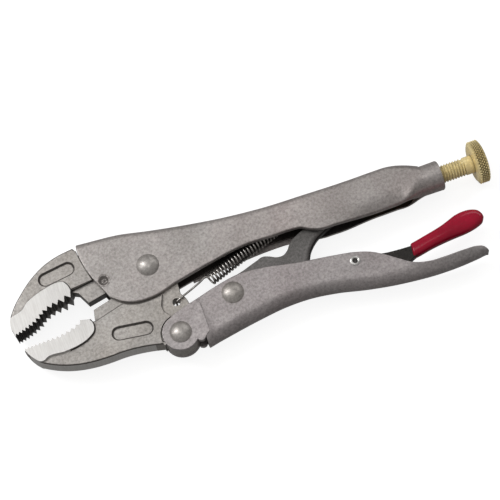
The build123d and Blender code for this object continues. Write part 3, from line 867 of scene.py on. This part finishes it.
def tooth_cutters(roots, count, growth, depth, side):
    """Wedge cutters whose points lie on the root line and which open to one side of it."""
    k = 1.5
    wide, deep = 0.5 * k, depth * k * side
    tri = [(-0.06, 0.02 * -side), (0.06, 0.02 * -side), (wide + 0.02, deep), (-wide - 0.02, deep)]
    v = [(x, y, z * 0.012) for z in (-1, 1) for x, y in tri]
    f = [(3, 2, 1, 0), (4, 5, 6, 7), (0, 1, 5, 4), (1, 2, 6, 5), (2, 3, 7, 6), (3, 0, 4, 7)]
    mesh = bpy.data.meshes.new("wedge")
    mesh.from_pydata(v, [], f)
    work = bmesh.new()
    work.from_mesh(mesh)
    bmesh.ops.recalc_face_normals(work, faces=work.faces)
    work.to_mesh(mesh)
    work.free()
    wedge = placed("wedge", mesh)
    p = smooth_path(roots, 120) * MM
    line = bpy.data.meshes.new("root_line")
    line.from_pydata([(x, y, MID) for x, y in p], [(i, i + 1) for i in range(len(p) - 1)], [])
    cutters = run_tree(
        "cutters", TOOTH_TREE, line, Wedge=wedge, Count=count, Growth=growth, Material=jaw_steel,
    )
    bpy.data.objects.remove(wedge)
    print("tooth cutters", len(cutters.data.vertices) // 8)
    return cutters


def milled(jaw, cutters):
    """Mills the grooves one after another, because neighbouring cutters overlap."""
    corners, sides = cutters.data.vertices, cutters.data.polygons
    for k in range(len(corners) // 8):
        mesh = bpy.data.meshes.new("groove")
        faces = [[i - 8 * k for i in f.vertices] for f in sides[6 * k : 6 * k + 6]]
        mesh.from_pydata([v.co[:] for v in corners[8 * k : 8 * k + 8]], [], faces)
        cut(jaw, placed("groove", mesh))
    bpy.data.objects.remove(cutters)
    return jaw


# %% [markdown]
# ## The two forged jaws
# A forging has levels joined by slopes: the thin tang between the cheeks, the thicker body, and
# the ground pads that carry the teeth, with a long pocket in each face. Each level is a plate
# whose rim slopes where a slope belongs; the plates are joined and the teeth milled across. Then
# every face of a jaw takes one of three finishes or a painted shade on the sloped rims, by where
# it lies and which way it looks.

# %% Jaw helpers
def pocket(jaw, first, second, radius=2.9, face=FORGED_HALF, deep=1.2):
    """A long pocket with sloping walls in both faces."""
    dx, dy = second[0] - first[0], second[1] - first[1]
    heading = np.degrees(atan2(dy, dx))
    shape = joined(
        arc(first, radius, heading + 90, heading + 270, 20),
        arc(second, radius, heading - 90, heading + 90, 20),
    )
    for side in (1, -1):
        steps = [
            (0.15, face - deep), (0.0, face - deep + 0.03), (-0.75, face - 0.12), (-0.95, face + 0.02),
            (-1.1, face + 2),
        ]
        steps = [(inset, side * z) for inset, z in steps]
        cut(jaw, plate("pocket", shape, steps))
    return jaw


def sloped(low, high, slope=0.6):
    """Rings of a pad: straight below, sloping over its last step up to the top, on both faces."""
    up = [(-slope, low - 0.5), (-slope, low - 0.05), (-0.04, high - 0.08), (0.08, high)]
    return [(inset, -z) for inset, z in up[::-1]] + up


def rim_steps():
    """Rings of a forged body: flat faces, generous rims, a slight swell to the parting line."""
    rim = [
        (1.1, 5.0), (0.8, 4.93), (0.52, 4.72), (0.28, 4.38), (0.12, 3.95), (0.03, 3.4), (-0.1, 1.6),
        (-0.2, 0.12),
    ]
    return [(inset, -z) for inset, z in rim] + rim[::-1]


def tooth_band(drawn, first, last, side):
    """Root line of the teeth, line of their tips, and the edge of the body just inside them."""
    roots = smooth_path(drawn, 60)
    along = np.gradient(roots, axis=0)
    along /= np.linalg.norm(along, axis=1)[:, None]
    outward = side * np.column_stack([along[:, 1], -along[:, 0]])
    reach = np.linspace(first, last, 60)[:, None]
    return roots, roots + outward * reach, roots + outward * (reach - 0.8)


# %% Fixed jaw
NOSE_BACK = [
    (-33.2, 22.9), (-41.4, 21.8), (-49.6, 19.3), (-58.2, 14.3), (-65.3, 8.2), (-70.9, 2.1), (-74.0, -3.2),
    (-74.6, -7.0),
]
ROOTS = [
    (-73.6, -11.7), (-69.5, -10.7), (-65.4, -9.3), (-60.8, -7.0), (-57.1, -4.5), (-52.2, -2.6),
    (-45.8, -1.4), (-42.5, -0.3),
]
roots, crest, body_edge = tooth_band(ROOTS, 1.3, 2.6, 1)
back = smooth_path(NOSE_BACK, 34)
throat = smooth_path([(-41.5, -2.4), (-41.2, -0.9), (-40.9, 0.6)], 6)
body = joined(
    back, [(-74.3, -9.0)], body_edge[1:-1:3], [(-41.6, 0.9)],
    [(-28.6, 2.8), (-29.4, 6.5), (-30.4, 10.4), (-31.2, 15.2), (-31.8, 20.6)],
)
edge_weight = np.ones(len(body))
edge_weight[len(back) : len(back) + 1 + 20] = 0.0
edge_weight[-5:] = 0.3
fixed_jaw = plate("fixed_jaw_forging", body, rim_steps(), edge_weight)
pocket(fixed_jaw, (-50.8, 11.3), (-38.8, 12.9))
PAD_TOP = [
    (-72.2, -2.2), (-69.8, -1.7), (-67.1, -0.9), (-62.9, 2.6), (-58.7, 4.5), (-52.6, 6.3), (-46.2, 7.3),
    (-43.1, 6.7), (-41.3, 4.2), (-40.5, 0.9),
]
pad_line = smooth_path(PAD_TOP, 50)
pad = joined(
    pad_line[::-1], [(-73.2, -2.8), (-74.0, -4.8), (-74.4, -7.4), (-74.2, -9.0)], crest, throat[:-1],
)
pad_weight = np.zeros(len(pad))
pad_weight[: len(pad_line)] = np.minimum(1.0, np.arange(len(pad_line))[::-1] / 16)
unite(fixed_jaw, plate("pad", pad, sloped(FORGED_HALF, PAD_HALF), pad_weight))
stop = [
    (-41.0, 0.9), (-37.4, -0.9), (-34.1, -7.6), (-25.3, -5.8), (-21.0, -4.8), (-24.0, 5.0), (-36.0, 6.0),
]
unite(fixed_jaw, plate("stop", stop, rounded_steps(-3.0, 3.0, 0.3)))
tang = joined(
    [(-27.2, 1.4), (-23.9, -5.4), (-14.0, -3.6)],
    arc((0, 0), 13.3, 196, 93, 24),
    [(-12.0, 16.9), (-31.6, 18.3), (-31.0, 8.0)],
)
unite(fixed_jaw, plate("tang", tang, rounded_steps(-3.8, 3.8, 0.1)))
milled(fixed_jaw, tooth_cutters(ROOTS, 13, 1.069, 0.72, -1))


def jaw_finish_and_rim_shade(line, walls, bright_below=-99.0):
    """Chooses for each face of a jaw a finish, or the painted rim shade on sloped rims, by where it lies and
    which way it looks.

    line is the line of the teeth; walls is a box, as two corners, whose upright walls are dark;
    upright walls in front of the handles and below bright_below are ground bright.
    """
    near = np.array(line)
    (x0, y0), (x1, y1) = walls

    def choose(face, old):
        x, y, z = (c / MM for c in face.center)
        steep = abs(face.normal.z)
        from_line = np.min(np.linalg.norm(near - (x, y), axis=1))
        if steep > 0.95 and abs(z - MID / MM) > 6.1:
            return 1
        if steep < 0.3 and (from_line < 3.4 or (x0 < x < x1 and y0 < y < y1)):
            return 2
        if steep < 0.5 and y < bright_below and x < -9 and (y < -35 or x < -50):
            return 1
        # sloped rim faces take the painted rim shade
        return 3 if 0.42 < steep < 0.93 else 0

    return choose


JAW_FINISHES_AND_RIM_SHADE = (ground_steel, tooth_steel, painted_rim_shade_steel)
dark_walls = [(-43.0, -9.0), (-20.0, 6.0)]
finished(
    fixed_jaw, "fixed_side", jaw_steel, "fixed_jaw", sharp=28, extra=JAW_FINISHES_AND_RIM_SHADE,
    choose=jaw_finish_and_rim_shade(roots, dark_walls),
)

# %% Moving jaw
LOW_ROOTS = [
    (-70.9, -21.0), (-64.0, -21.0), (-58.0, -21.0), (-52.5, -20.9), (-48.0, -20.1), (-43.6, -18.8),
    (-40.2, -17.2),
]
roots, crest, body_edge = tooth_band(LOW_ROOTS, 0.6, 1.5, -1)
OUTSIDE = [
    (-71.5, -20.6), (-71.0, -22.3), (-69.1, -25.9), (-66.2, -29.5), (-61.0, -32.9), (-55.1, -35.6),
    (-48.4, -37.6),
]
OUTSIDE += [(-41.0, -38.8), (-32.9, -39.2), (-24.9, -39.1), (-12.4, -40.6), (-5.1, -42.3)]
outside = smooth_path(OUTSIDE, 50)
body = joined(
    outside,
    arc(HANDLE_PIVOT, 9.95, 199, 100, 24),
    smooth_path([(1.2, -27.6), (-0.1, -25.6), (-0.4, -23.2), (1.0, -19.2), (2.0, -16.6)], 12),
    smooth_path([(1.0, -17.3), (-6.5, -17.9), (-13.8, -16.9), (-19.0, -14.3)], 14),
    [(-33.6, -18.1), (-36.6, -17.8)],
    body_edge[::-3],
)
edge_weight = np.ones(len(body))
edge_weight[-20:] = 0.0
edge_weight[len(outside) : len(body) - 20] = 0.2
edge_weight[-23:-20] = 0.9
moving_jaw = plate("moving_jaw_forging", body, rim_steps(), edge_weight)
pocket(moving_jaw, (-24.6, -28.9), (-11.2, -30.9))
PAD_LOW = [
    (-65.8, -29.3), (-64.3, -29.7), (-61.3, -28.5), (-52.6, -28.8), (-45.1, -28.1), (-39.6, -26.3),
    (-35.7, -23.2), (-35.1, -20.0), (-36.1, -17.2),
]
pad_line = smooth_path(PAD_LOW, 60)
front = smooth_path(OUTSIDE[:4], 20) + np.array([0.24, 0.12])
pad = joined(front[:-1], pad_line, crest[::-1])
pad_weight = np.zeros(len(pad))
pad_weight[len(front) - 1 : len(front) - 1 + len(pad_line)] = np.minimum(1.0, np.arange(len(pad_line)) / 8)
unite(moving_jaw, plate("pad", pad, sloped(FORGED_HALF, PAD_HALF), pad_weight))
tail = joined(
    [(-11.8, -6.6), (-25.2, -10.3), (-32.8, -12.2), (-34.0, -18.3), (-20.0, -30.0), (-8.0, -41.0)],
    arc(HANDLE_PIVOT, 9.0, 200, 375, 50),
    smooth_path([(13.3, -33.0), (13.5, -29.4), (13.2, -26.0), (12.4, -22.4), (10.6, -19.2)], 12),
    [(11.8, -6.6)],
)
unite(moving_jaw, plate("tail", tail, rounded_steps(-TAIL_HALF, TAIL_HALF, 0.3)))
unite(moving_jaw, lathe("lug", [(12.4, -3.77), (12.4, 3.77)], (0, 0, 0), steps=96))
for centre, radius in ((SPRING_HOLE, 2.1), ((0, 0), RIVET_R + FIT), (HANDLE_PIVOT, RIVET_R + FIT)):
    drilled(moving_jaw, centre, radius)
milled(moving_jaw, tooth_cutters(LOW_ROOTS, 13, 1.05, 0.5, 1))
dark_walls = [(-36.0, -19.5), (-3.0, -6.0)]
finished(
    moving_jaw, "jaw", jaw_steel, "moving_jaw", sharp=28, extra=JAW_FINISHES_AND_RIM_SHADE,
    choose=jaw_finish_and_rim_shade(roots, dark_walls, -20.5),
)


# %% [markdown]
# ## Rivets
# A rivet head is struck round on the side that shows and flat on the other. Each is turned from
# one profile: flat rear head, shank, domed near head.

# %% Rivets
def dome(grip, radius, high, parts=14):
    """Profile of a low round head, from its rim to its crown."""
    ball = (radius**2 + high**2) / (2 * high)
    widest = np.arcsin(radius / ball)
    rim = [(radius - 0.12, grip), (radius, grip + 0.1)]
    return rim + [(
        ball * sin(t), grip + high - ball * (1 - cos(t)),
    ) for t in np.linspace(widest * 0.985, 0.0, parts)]


def rivet(name, centre, grip, head=5.8, high=2.25):
    rear = [(0.0, -grip - high), (head - 2.0, -grip - high), (head - 1.75, -grip - high + 0.12)]
    rear += [(head - 0.15, -grip - 0.3), (head, -grip - 0.12), (head - 0.1, -grip), (RIVET_R, -grip)]
    return lathe(name, rear + [(RIVET_R, grip)] + dome(grip, head, high), (*centre, 0.0), steps=72)


finished(rivet("jaw_rivet", (0, 0), FRONT_HALF), "fixed_side", rivet_steel, "jaw_pivot_rivet")
finished(rivet("handle_rivet", HANDLE_PIVOT, FRONT_HALF, 5.55), "handle", rivet_steel, "handle_pivot_rivet")
finished(rivet("link_rivet_head", LINK_PIVOT, BELLY_HALF, 5.7), "handle", rivet_steel, "link_rivet")
roll = [(1.15, 5.6), (1.35, 6.15), (1.8, 6.38), (2.35, 6.3), (2.7, 6.0), (2.72, 5.85), (2.0, 5.85)]
wall = roll + [(r, -z) for r, z in roll[::-1]]
steps = np.linspace(0, 2 * pi, 48, endpoint=False)
verts, faces = [], []
for k, a in enumerate(steps):
    verts += [(LEVER_PIVOT[0] + r * cos(a), LEVER_PIVOT[1] + r * sin(a), z) for r, z in wall]
    for i in range(len(wall)):
        j, nxt = (i + 1) % len(wall), (k + 1) % len(steps)
        faces.append((k * len(wall) + i, nxt * len(wall) + i, nxt * len(wall) + j, k * len(wall) + j))
finished(to_object("lever_eyelet", verts, faces), "handle", pin_steel, "lever_pin")

# %% [markdown]
# ## Toggle link
# A folded link with two side plates and a rounded back. The back is black, so it gets its own
# finish, chosen by which way a face looks.

# %% Toggle link
LINK_END = (106.82, -3.9)
heading = np.degrees(atan2(LINK_END[1] - LINK_PIVOT[1], LINK_END[0] - LINK_PIVOT[0]))
eye = arc(LINK_PIVOT, 7.8, heading + 90, heading + 255, 30)
back = smooth_path(
    [
        (40.0, -35.6), (52.0, -36.2), (63.0, -34.2), (71.5, -30.6), (76.4, -25.8), (79.4, -20.4),
        (83.5, -16.2), (90.0, -12.6), (99.0, -9.4),
    ],
    60,
)
nose = arc(LINK_END, 4.4, heading - 92, heading + 90, 24)
front = smooth_path(
    [
        (97.0, -2.0), (88.0, -5.0), (80.0, -8.0), (73.6, -10.9), (70.6, -13.0), (68.0, -16.2),
        (65.4, -17.8), (62.2, -17.6), (58.8, -15.9), (55.6, -14.9), (51.6, -16.0), (44.0, -18.4),
    ],
    90,
)
outline = joined(eye, back, nose, front)
weight = np.full(len(outline), 0.12)
weight[len(eye) - 4 : len(eye) + len(back)] = 1.0
toggle_link = plate("toggle_link_sheet", outline, rounded_steps(-3.25, 3.25, 2.3, 0.0, 7), weight)
hollow = smooth_path(
    [
        (24.0, -33.5), (44.0, -33.6), (61.0, -32.4), (69.6, -28.9), (74.4, -24.2), (77.4, -18.9),
        (82.0, -14.2), (90.0, -10.4), (98.0, -7.8),
    ],
    40,
)
hollow = joined(hollow, [(98.0, 4.0), (24.0, 4.0)])
cut(toggle_link, plate("hollow", hollow, [(0, -1.45), (0, 1.45)]))
drilled(toggle_link, LINK_PIVOT, RIVET_R + FIT)
black_back = lambda face, old: int(abs(face.normal.z) < 0.7)
finished(toggle_link, "link", link_steel, "toggle_link", sharp=40, extra=(dark_steel,), choose=black_back)

# %% [markdown]
# ## Release lever and its dipped grip
# The lever is a plain stamped plate. Its tail was dipped in plastic, which leaves an even skin
# with a soft rim and a rounded end, so the grip is a loft of full, almost oval sections.

# %% Release lever
ARM_LOW = [
    (86.6, -31.0), (85.4, -33.2), (86.8, -36.0), (92.0, -38.8), (104.0, -41.5), (114.0, -44.6),
    (120.5, -44.8), (126.0, -42.0),
]
ARM_TOP = [(127.0, -35.4), (120.0, -35.0), (112.0, -34.0), (104.0, -31.2), (97.8, -29.6), (91.0, -29.6)]
steel = [
    (133.2, -39.4), (144.1, -37.3), (155.0, -35.9), (161.0, -34.4), (162.6, -31.8), (160.0, -29.8),
    (152.9, -30.3), (145.1, -32.9), (136.0, -34.8),
]
outline = joined(smooth_path(ARM_LOW, 50), steel, smooth_path(ARM_TOP, 30))
release_lever = plate("lever_plate", outline, rounded_steps(-2.2, 2.2, 0.35))
drilled(release_lever, LEVER_PIVOT, LEVER_PIN_R + FIT)
finished(release_lever, "lever", dark_steel, "release_lever")

# %% Lever grip
TOP_SIDE = [
    (127.4, -33.9), (131.7, -33.1), (136.2, -32.2), (141.2, -31.2), (145.3, -30.2), (149.5, -28.8),
    (153.6, -27.4), (157.8, -26.8), (162.4, -27.3), (165.4, -28.8), (167.0, -31.4),
]
LOW_SIDE = [
    (126.2, -41.9), (131.0, -41.1), (136.0, -40.1), (141.0, -39.4), (146.0, -38.9), (150.6, -38.6),
    (154.8, -38.4), (158.8, -37.9), (162.8, -36.9), (165.6, -35.6), (167.1, -33.4),
]
count = 90
upper, lower = smooth_path(TOP_SIDE, count), smooth_path(LOW_SIDE, count)
rings = []
around = np.linspace(0, 2 * pi, 44, endpoint=False)
for k in range(count):
    t = k / (count - 1)
    middle, half = (upper[k] + lower[k]) / 2, (upper[k] - lower[k]) / 2
    rim = sqrt(max(1 - (1 - min(t / 0.02, 1.0)) ** 2, 0.0))
    end = sqrt(max(1 - max((t - 0.86) / 0.14, 0.0) ** 2, 0.0))
    thick = (2.35 + 0.95 * rim + 0.5 * sin(pi * t)) * (0.35 + 0.65 * end)
    size = 0.93 + 0.07 * rim
    c, s_ = np.cos(around), np.sin(around)
    power = 0.82
    across = np.sign(c) * np.abs(c) ** power
    high = np.sign(s_) * np.abs(s_) ** power
    flat = middle + np.outer(across * size, half)
    rings.append(np.column_stack([flat, high * thick]))
lever_grip = ring_solid("grip_skin", rings)
finished(lever_grip, "lever", grip_plastic, "lever_grip", sharp=60)

# %% [markdown]
# ## Spring
# Close-wound wire is a spiral. The tree draws a spiral curve, sweeps a round profile along it and
# lays it on the line from the jaw's hole to the anchor. The hooks are bent wire at both ends.

# %% Coil tree
def coil_tree():
    """A spiral of wire: turns, mean radius, length, wire radius, sides of the wire's profile."""
    tree, given = new_tree(
        "coil", ("Turns", "Float", 20.0), ("Radius", "Float", 0.003), ("Length", "Float", 0.04),
        ("Wire Radius", "Float", 0.0005), ("Steps", "Int", 40), ("Sides", "Int", 10),
        ("Material", "Material"),
    )
    spiral = node(
        tree, "GeometryNodeCurveSpiral", Resolution=given["Steps"], Rotations=given["Turns"],
        Start_Radius=given["Radius"], End_Radius=given["Radius"], Height=given["Length"],
    ).outputs[0]
    upright = node(tree, "GeometryNodeSetCurveNormal", mode="Z_UP", Curve=spiral).outputs[0]
    sizes = {"Resolution": given["Sides"], "Radius": given["Wire Radius"]}
    ring = node(tree, "GeometryNodeCurvePrimitiveCircle", mode="RADIUS", **sizes).outputs[0]
    swept = node(tree, "GeometryNodeCurveToMesh", Curve=upright, Profile_Curve=ring, Fill_Caps=True)
    return handed_out(tree, given, swept.outputs[0])


COIL_TREE = coil_tree()


def laid(obj, start, heading, roll=0.0):
    """Lays a piece drawn along +Z onto a line in the middle plane, in its mesh, not its object."""
    tipped = Matrix.Rotation(radians(90), 4, "Y") @ Matrix.Rotation(radians(roll), 4, "Z")
    turn_it = Matrix.Rotation(radians(heading), 4, "Z") @ tipped
    obj.data.transform(Matrix.Translation((start[0] * MM, start[1] * MM, MID)) @ turn_it)
    return obj


# %% Spring
SPRING_HEADING = 19.0
spring_dir = np.array([cos(radians(SPRING_HEADING)), sin(radians(SPRING_HEADING))])
at = lambda d, z, side=0.0: (
    SPRING_HOLE[0] + d * spring_dir[0] - side * spring_dir[1],
    SPRING_HOLE[1] + d * spring_dir[1] + side * spring_dir[0],
    z,
)
COIL_START, COIL_LENGTH, TURNS, COIL_R, WIRE_R = 20.4, 41.6, 22, 2.95, 0.52
spring = run_tree(
    "spring_coil", COIL_TREE, Turns=float(TURNS), Radius=COIL_R * MM, Length=COIL_LENGTH * MM,
    Wire_Radius=WIRE_R * MM, Steps=36, Sides=10, Material=spring_steel,
)
laid(spring, at(COIL_START, 0)[:2], SPRING_HEADING, roll=180.0)
front = smooth_path(
    [
        at(COIL_START, COIL_R), at(COIL_START - 0.5, 3.3, 0.9), at(COIL_START - 2.2, 4.0, 1.3),
        at(17.0, 4.5, 0.9), at(9.0, 4.7, 0.2), at(2.0, 4.7), at(0.5, 4.3), at(0, 3.2),
    ],
    50,
)
through = smooth_path(
    [at(0, 3.2), at(0.0, 0.0), at(0.1, -3.2), at(0.8, -4.4), at(2.4, -4.6), at(4.6, -4.6, 0.4)], 30,
)
rear = smooth_path(
    [
        at(COIL_START + COIL_LENGTH, COIL_R), at(COIL_START + COIL_LENGTH + 1.4, 2.6), at(66.0, 1.9),
        at(72.0, 1.9), at(74.2, 1.7), at(74.7, 0.9), at(74.7, -0.9), at(74.2, -1.7), at(71.5, -1.8),
    ],
    50,
)
together(
    spring, tube("front_hook", np.concatenate([front, through[1:]]), WIRE_R),
    tube("rear_hook", rear, WIRE_R),
)
finished(spring, None, spring_steel, "tension_spring", sharp=50)

# %% [markdown]
# ## Adjusting screw
# Core, collar and knob are turned. The thread is the coil tree again with a four-sided wire, and
# the knurl is a field of small pyramids set round the rim by a second tree.

# %% Knurl tree
def knurl_tree():
    """Pyramids round a rim: alternate rows are shifted by half a step, which makes diamonds."""
    tree, given = new_tree(
        "knurl", ("Around", "Int", 60), ("Rows", "Int", 5), ("Radius", "Float", 0.01),
        ("Width", "Float", 0.004),
        ("Height", "Float", 0.0005), ("Material", "Material"),
    )
    around, rows, radius = given["Around"], given["Rows"], given["Radius"]
    points = node(tree, "GeometryNodePoints", Count=maths(tree, "MULTIPLY", around, rows)).outputs[0]
    index = node(tree, "GeometryNodeInputIndex").outputs[0]
    row = maths(tree, "FLOOR", maths(tree, "DIVIDE", index, around))
    column = maths(tree, "MODULO", index, around)
    half = maths(tree, "MULTIPLY", maths(tree, "MODULO", row, 2.0), 0.5)
    angle = maths(tree, "DIVIDE", maths(tree, "MULTIPLY", maths(tree, "ADD", column, half), 2 * pi), around)
    spacing = maths(tree, "DIVIDE", given["Width"], rows)
    high = maths(tree, "MULTIPLY", maths(tree, "ADD", row, 0.5), spacing)
    across, up = maths(tree, "COSINE", angle), maths(tree, "SINE", angle)
    spot = vector(tree, maths(tree, "MULTIPLY", across, radius), maths(tree, "MULTIPLY", up, radius), high)
    place = node(tree, "GeometryNodeSetPosition", Geometry=points, Position=spot)
    facing = vector(tree, across, up, 0.0)
    face = node(tree, "FunctionNodeAlignRotationToVector", axis="Z", Vector=facing)
    pyramid = node(
        tree, "GeometryNodeMeshCone", fill_type="NGON", Vertices=4, Depth=1.0,
        Radius_Top=0.12, Radius_Bottom=1.0,
    )
    size = maths(tree, "MULTIPLY", maths(tree, "DIVIDE", radius, around), pi)
    put = node(
        tree, "GeometryNodeInstanceOnPoints", Points=place.outputs[0], Instance=pyramid.outputs["Mesh"],
        Rotation=face.outputs[0], Scale=vector(tree, size, size, given["Height"]),
    )
    return handed_out(tree, given, put.outputs[0])


KNURL_TREE = knurl_tree()

# %% Adjusting screw
THREAD_R, ROOT_R, PITCH = 4.65, 3.95, 1.5
TIP, COLLAR, KNOB, KNOB_END, KNOB_R = 113.12, 168.4, 172.8, 179.0, 11.1
core = [
    (0.0, TIP), (3.2, TIP), (3.6, TIP + 0.2), (ROOT_R, TIP + 0.6), (ROOT_R, COLLAR - 0.6),
    (THREAD_R - 0.15, COLLAR), (THREAD_R, COLLAR + 0.2), (THREAD_R, KNOB),
]
head_r = KNOB_R - 0.8
knob = [
    (head_r - 1.5, KNOB), (head_r - 0.9, KNOB + 0.08), (head_r, KNOB + 0.75), (head_r, KNOB_END - 0.75),
    (head_r - 0.8, KNOB_END - 0.08), (head_r - 1.1, KNOB_END), (0.0, KNOB_END),
]
screw = lathe("screw_core", core + knob, (0.0, SCREW_Y, 0.0), axis="X", steps=96)
thread_length = COLLAR - TIP - 2.0
thread = run_tree(
    "thread", COIL_TREE, Turns=thread_length / PITCH, Radius=(ROOT_R + 0.02) * MM,
    Length=thread_length * MM, Wire_Radius=(THREAD_R - ROOT_R - 0.02) * MM, Steps=48, Sides=4, Material=brass,
)
laid(thread, (TIP + 1.2, SCREW_Y), 0.0)
knurl = run_tree(
    "knurl", KNURL_TREE, Around=44, Rows=5, Radius=(head_r + 0.1) * MM, Width=5.0 * MM, Height=0.85 * MM,
    Material=brass,
)
laid(knurl, (KNOB + 0.7, SCREW_Y), 0.0)
together(screw, thread, knurl)
finished(screw, "screw", brass, "adjusting_screw", sharp=30)

# %% [markdown]
# ## Plug welds
# Each cheek has a hole filled with weld metal: a rough bead that laps a little over the sheet,
# with a crater where the arc was broken off.

# %% Plug welds
rng = np.random.default_rng(7)
welds = []
for side in (1, -1):
    rings = []
    a = np.linspace(0, 2 * pi, 40, endpoint=False)
    lobes = sum(rng.uniform(-0.06, 0.06) * np.cos(k * a + rng.uniform(0, 6)) for k in range(2, 7))
    bead = [
        (2.58, 3.86), (2.58, 6.3), (3.4, 6.34), (3.3, 6.42), (2.9, 6.42), (2.5, 6.25), (2.1, 5.9),
        (1.7, 5.4), (1.2, 5.05), (0.7, 5.1), (0.3, 5.5),
    ]
    for r, z in bead + [(0.01, 5.6)]:
        wobble = 1 + lobes * (1 if 0.3 < r < 3.2 else 0)
        ring = np.column_stack([
            WELD[0] + r * wobble * np.cos(a), WELD[1] + r * wobble * np.sin(a), np.full(40, z),
        ])
        ring[:, 2] += rng.uniform(-0.1, 0.1, 40) * (1 if 0.3 < r < 2.9 else 0)
        ring[:, 2] *= side
        rings.append(ring)
    welds.append(ring_solid("weld", rings))
plug_welds = together(*welds)
plug_welds.name = "weld_metal"
finished(plug_welds, "fixed_side", weld_steel, "plug_welds", sharp=60)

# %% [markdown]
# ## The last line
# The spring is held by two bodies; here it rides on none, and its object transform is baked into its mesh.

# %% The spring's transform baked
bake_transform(spring)
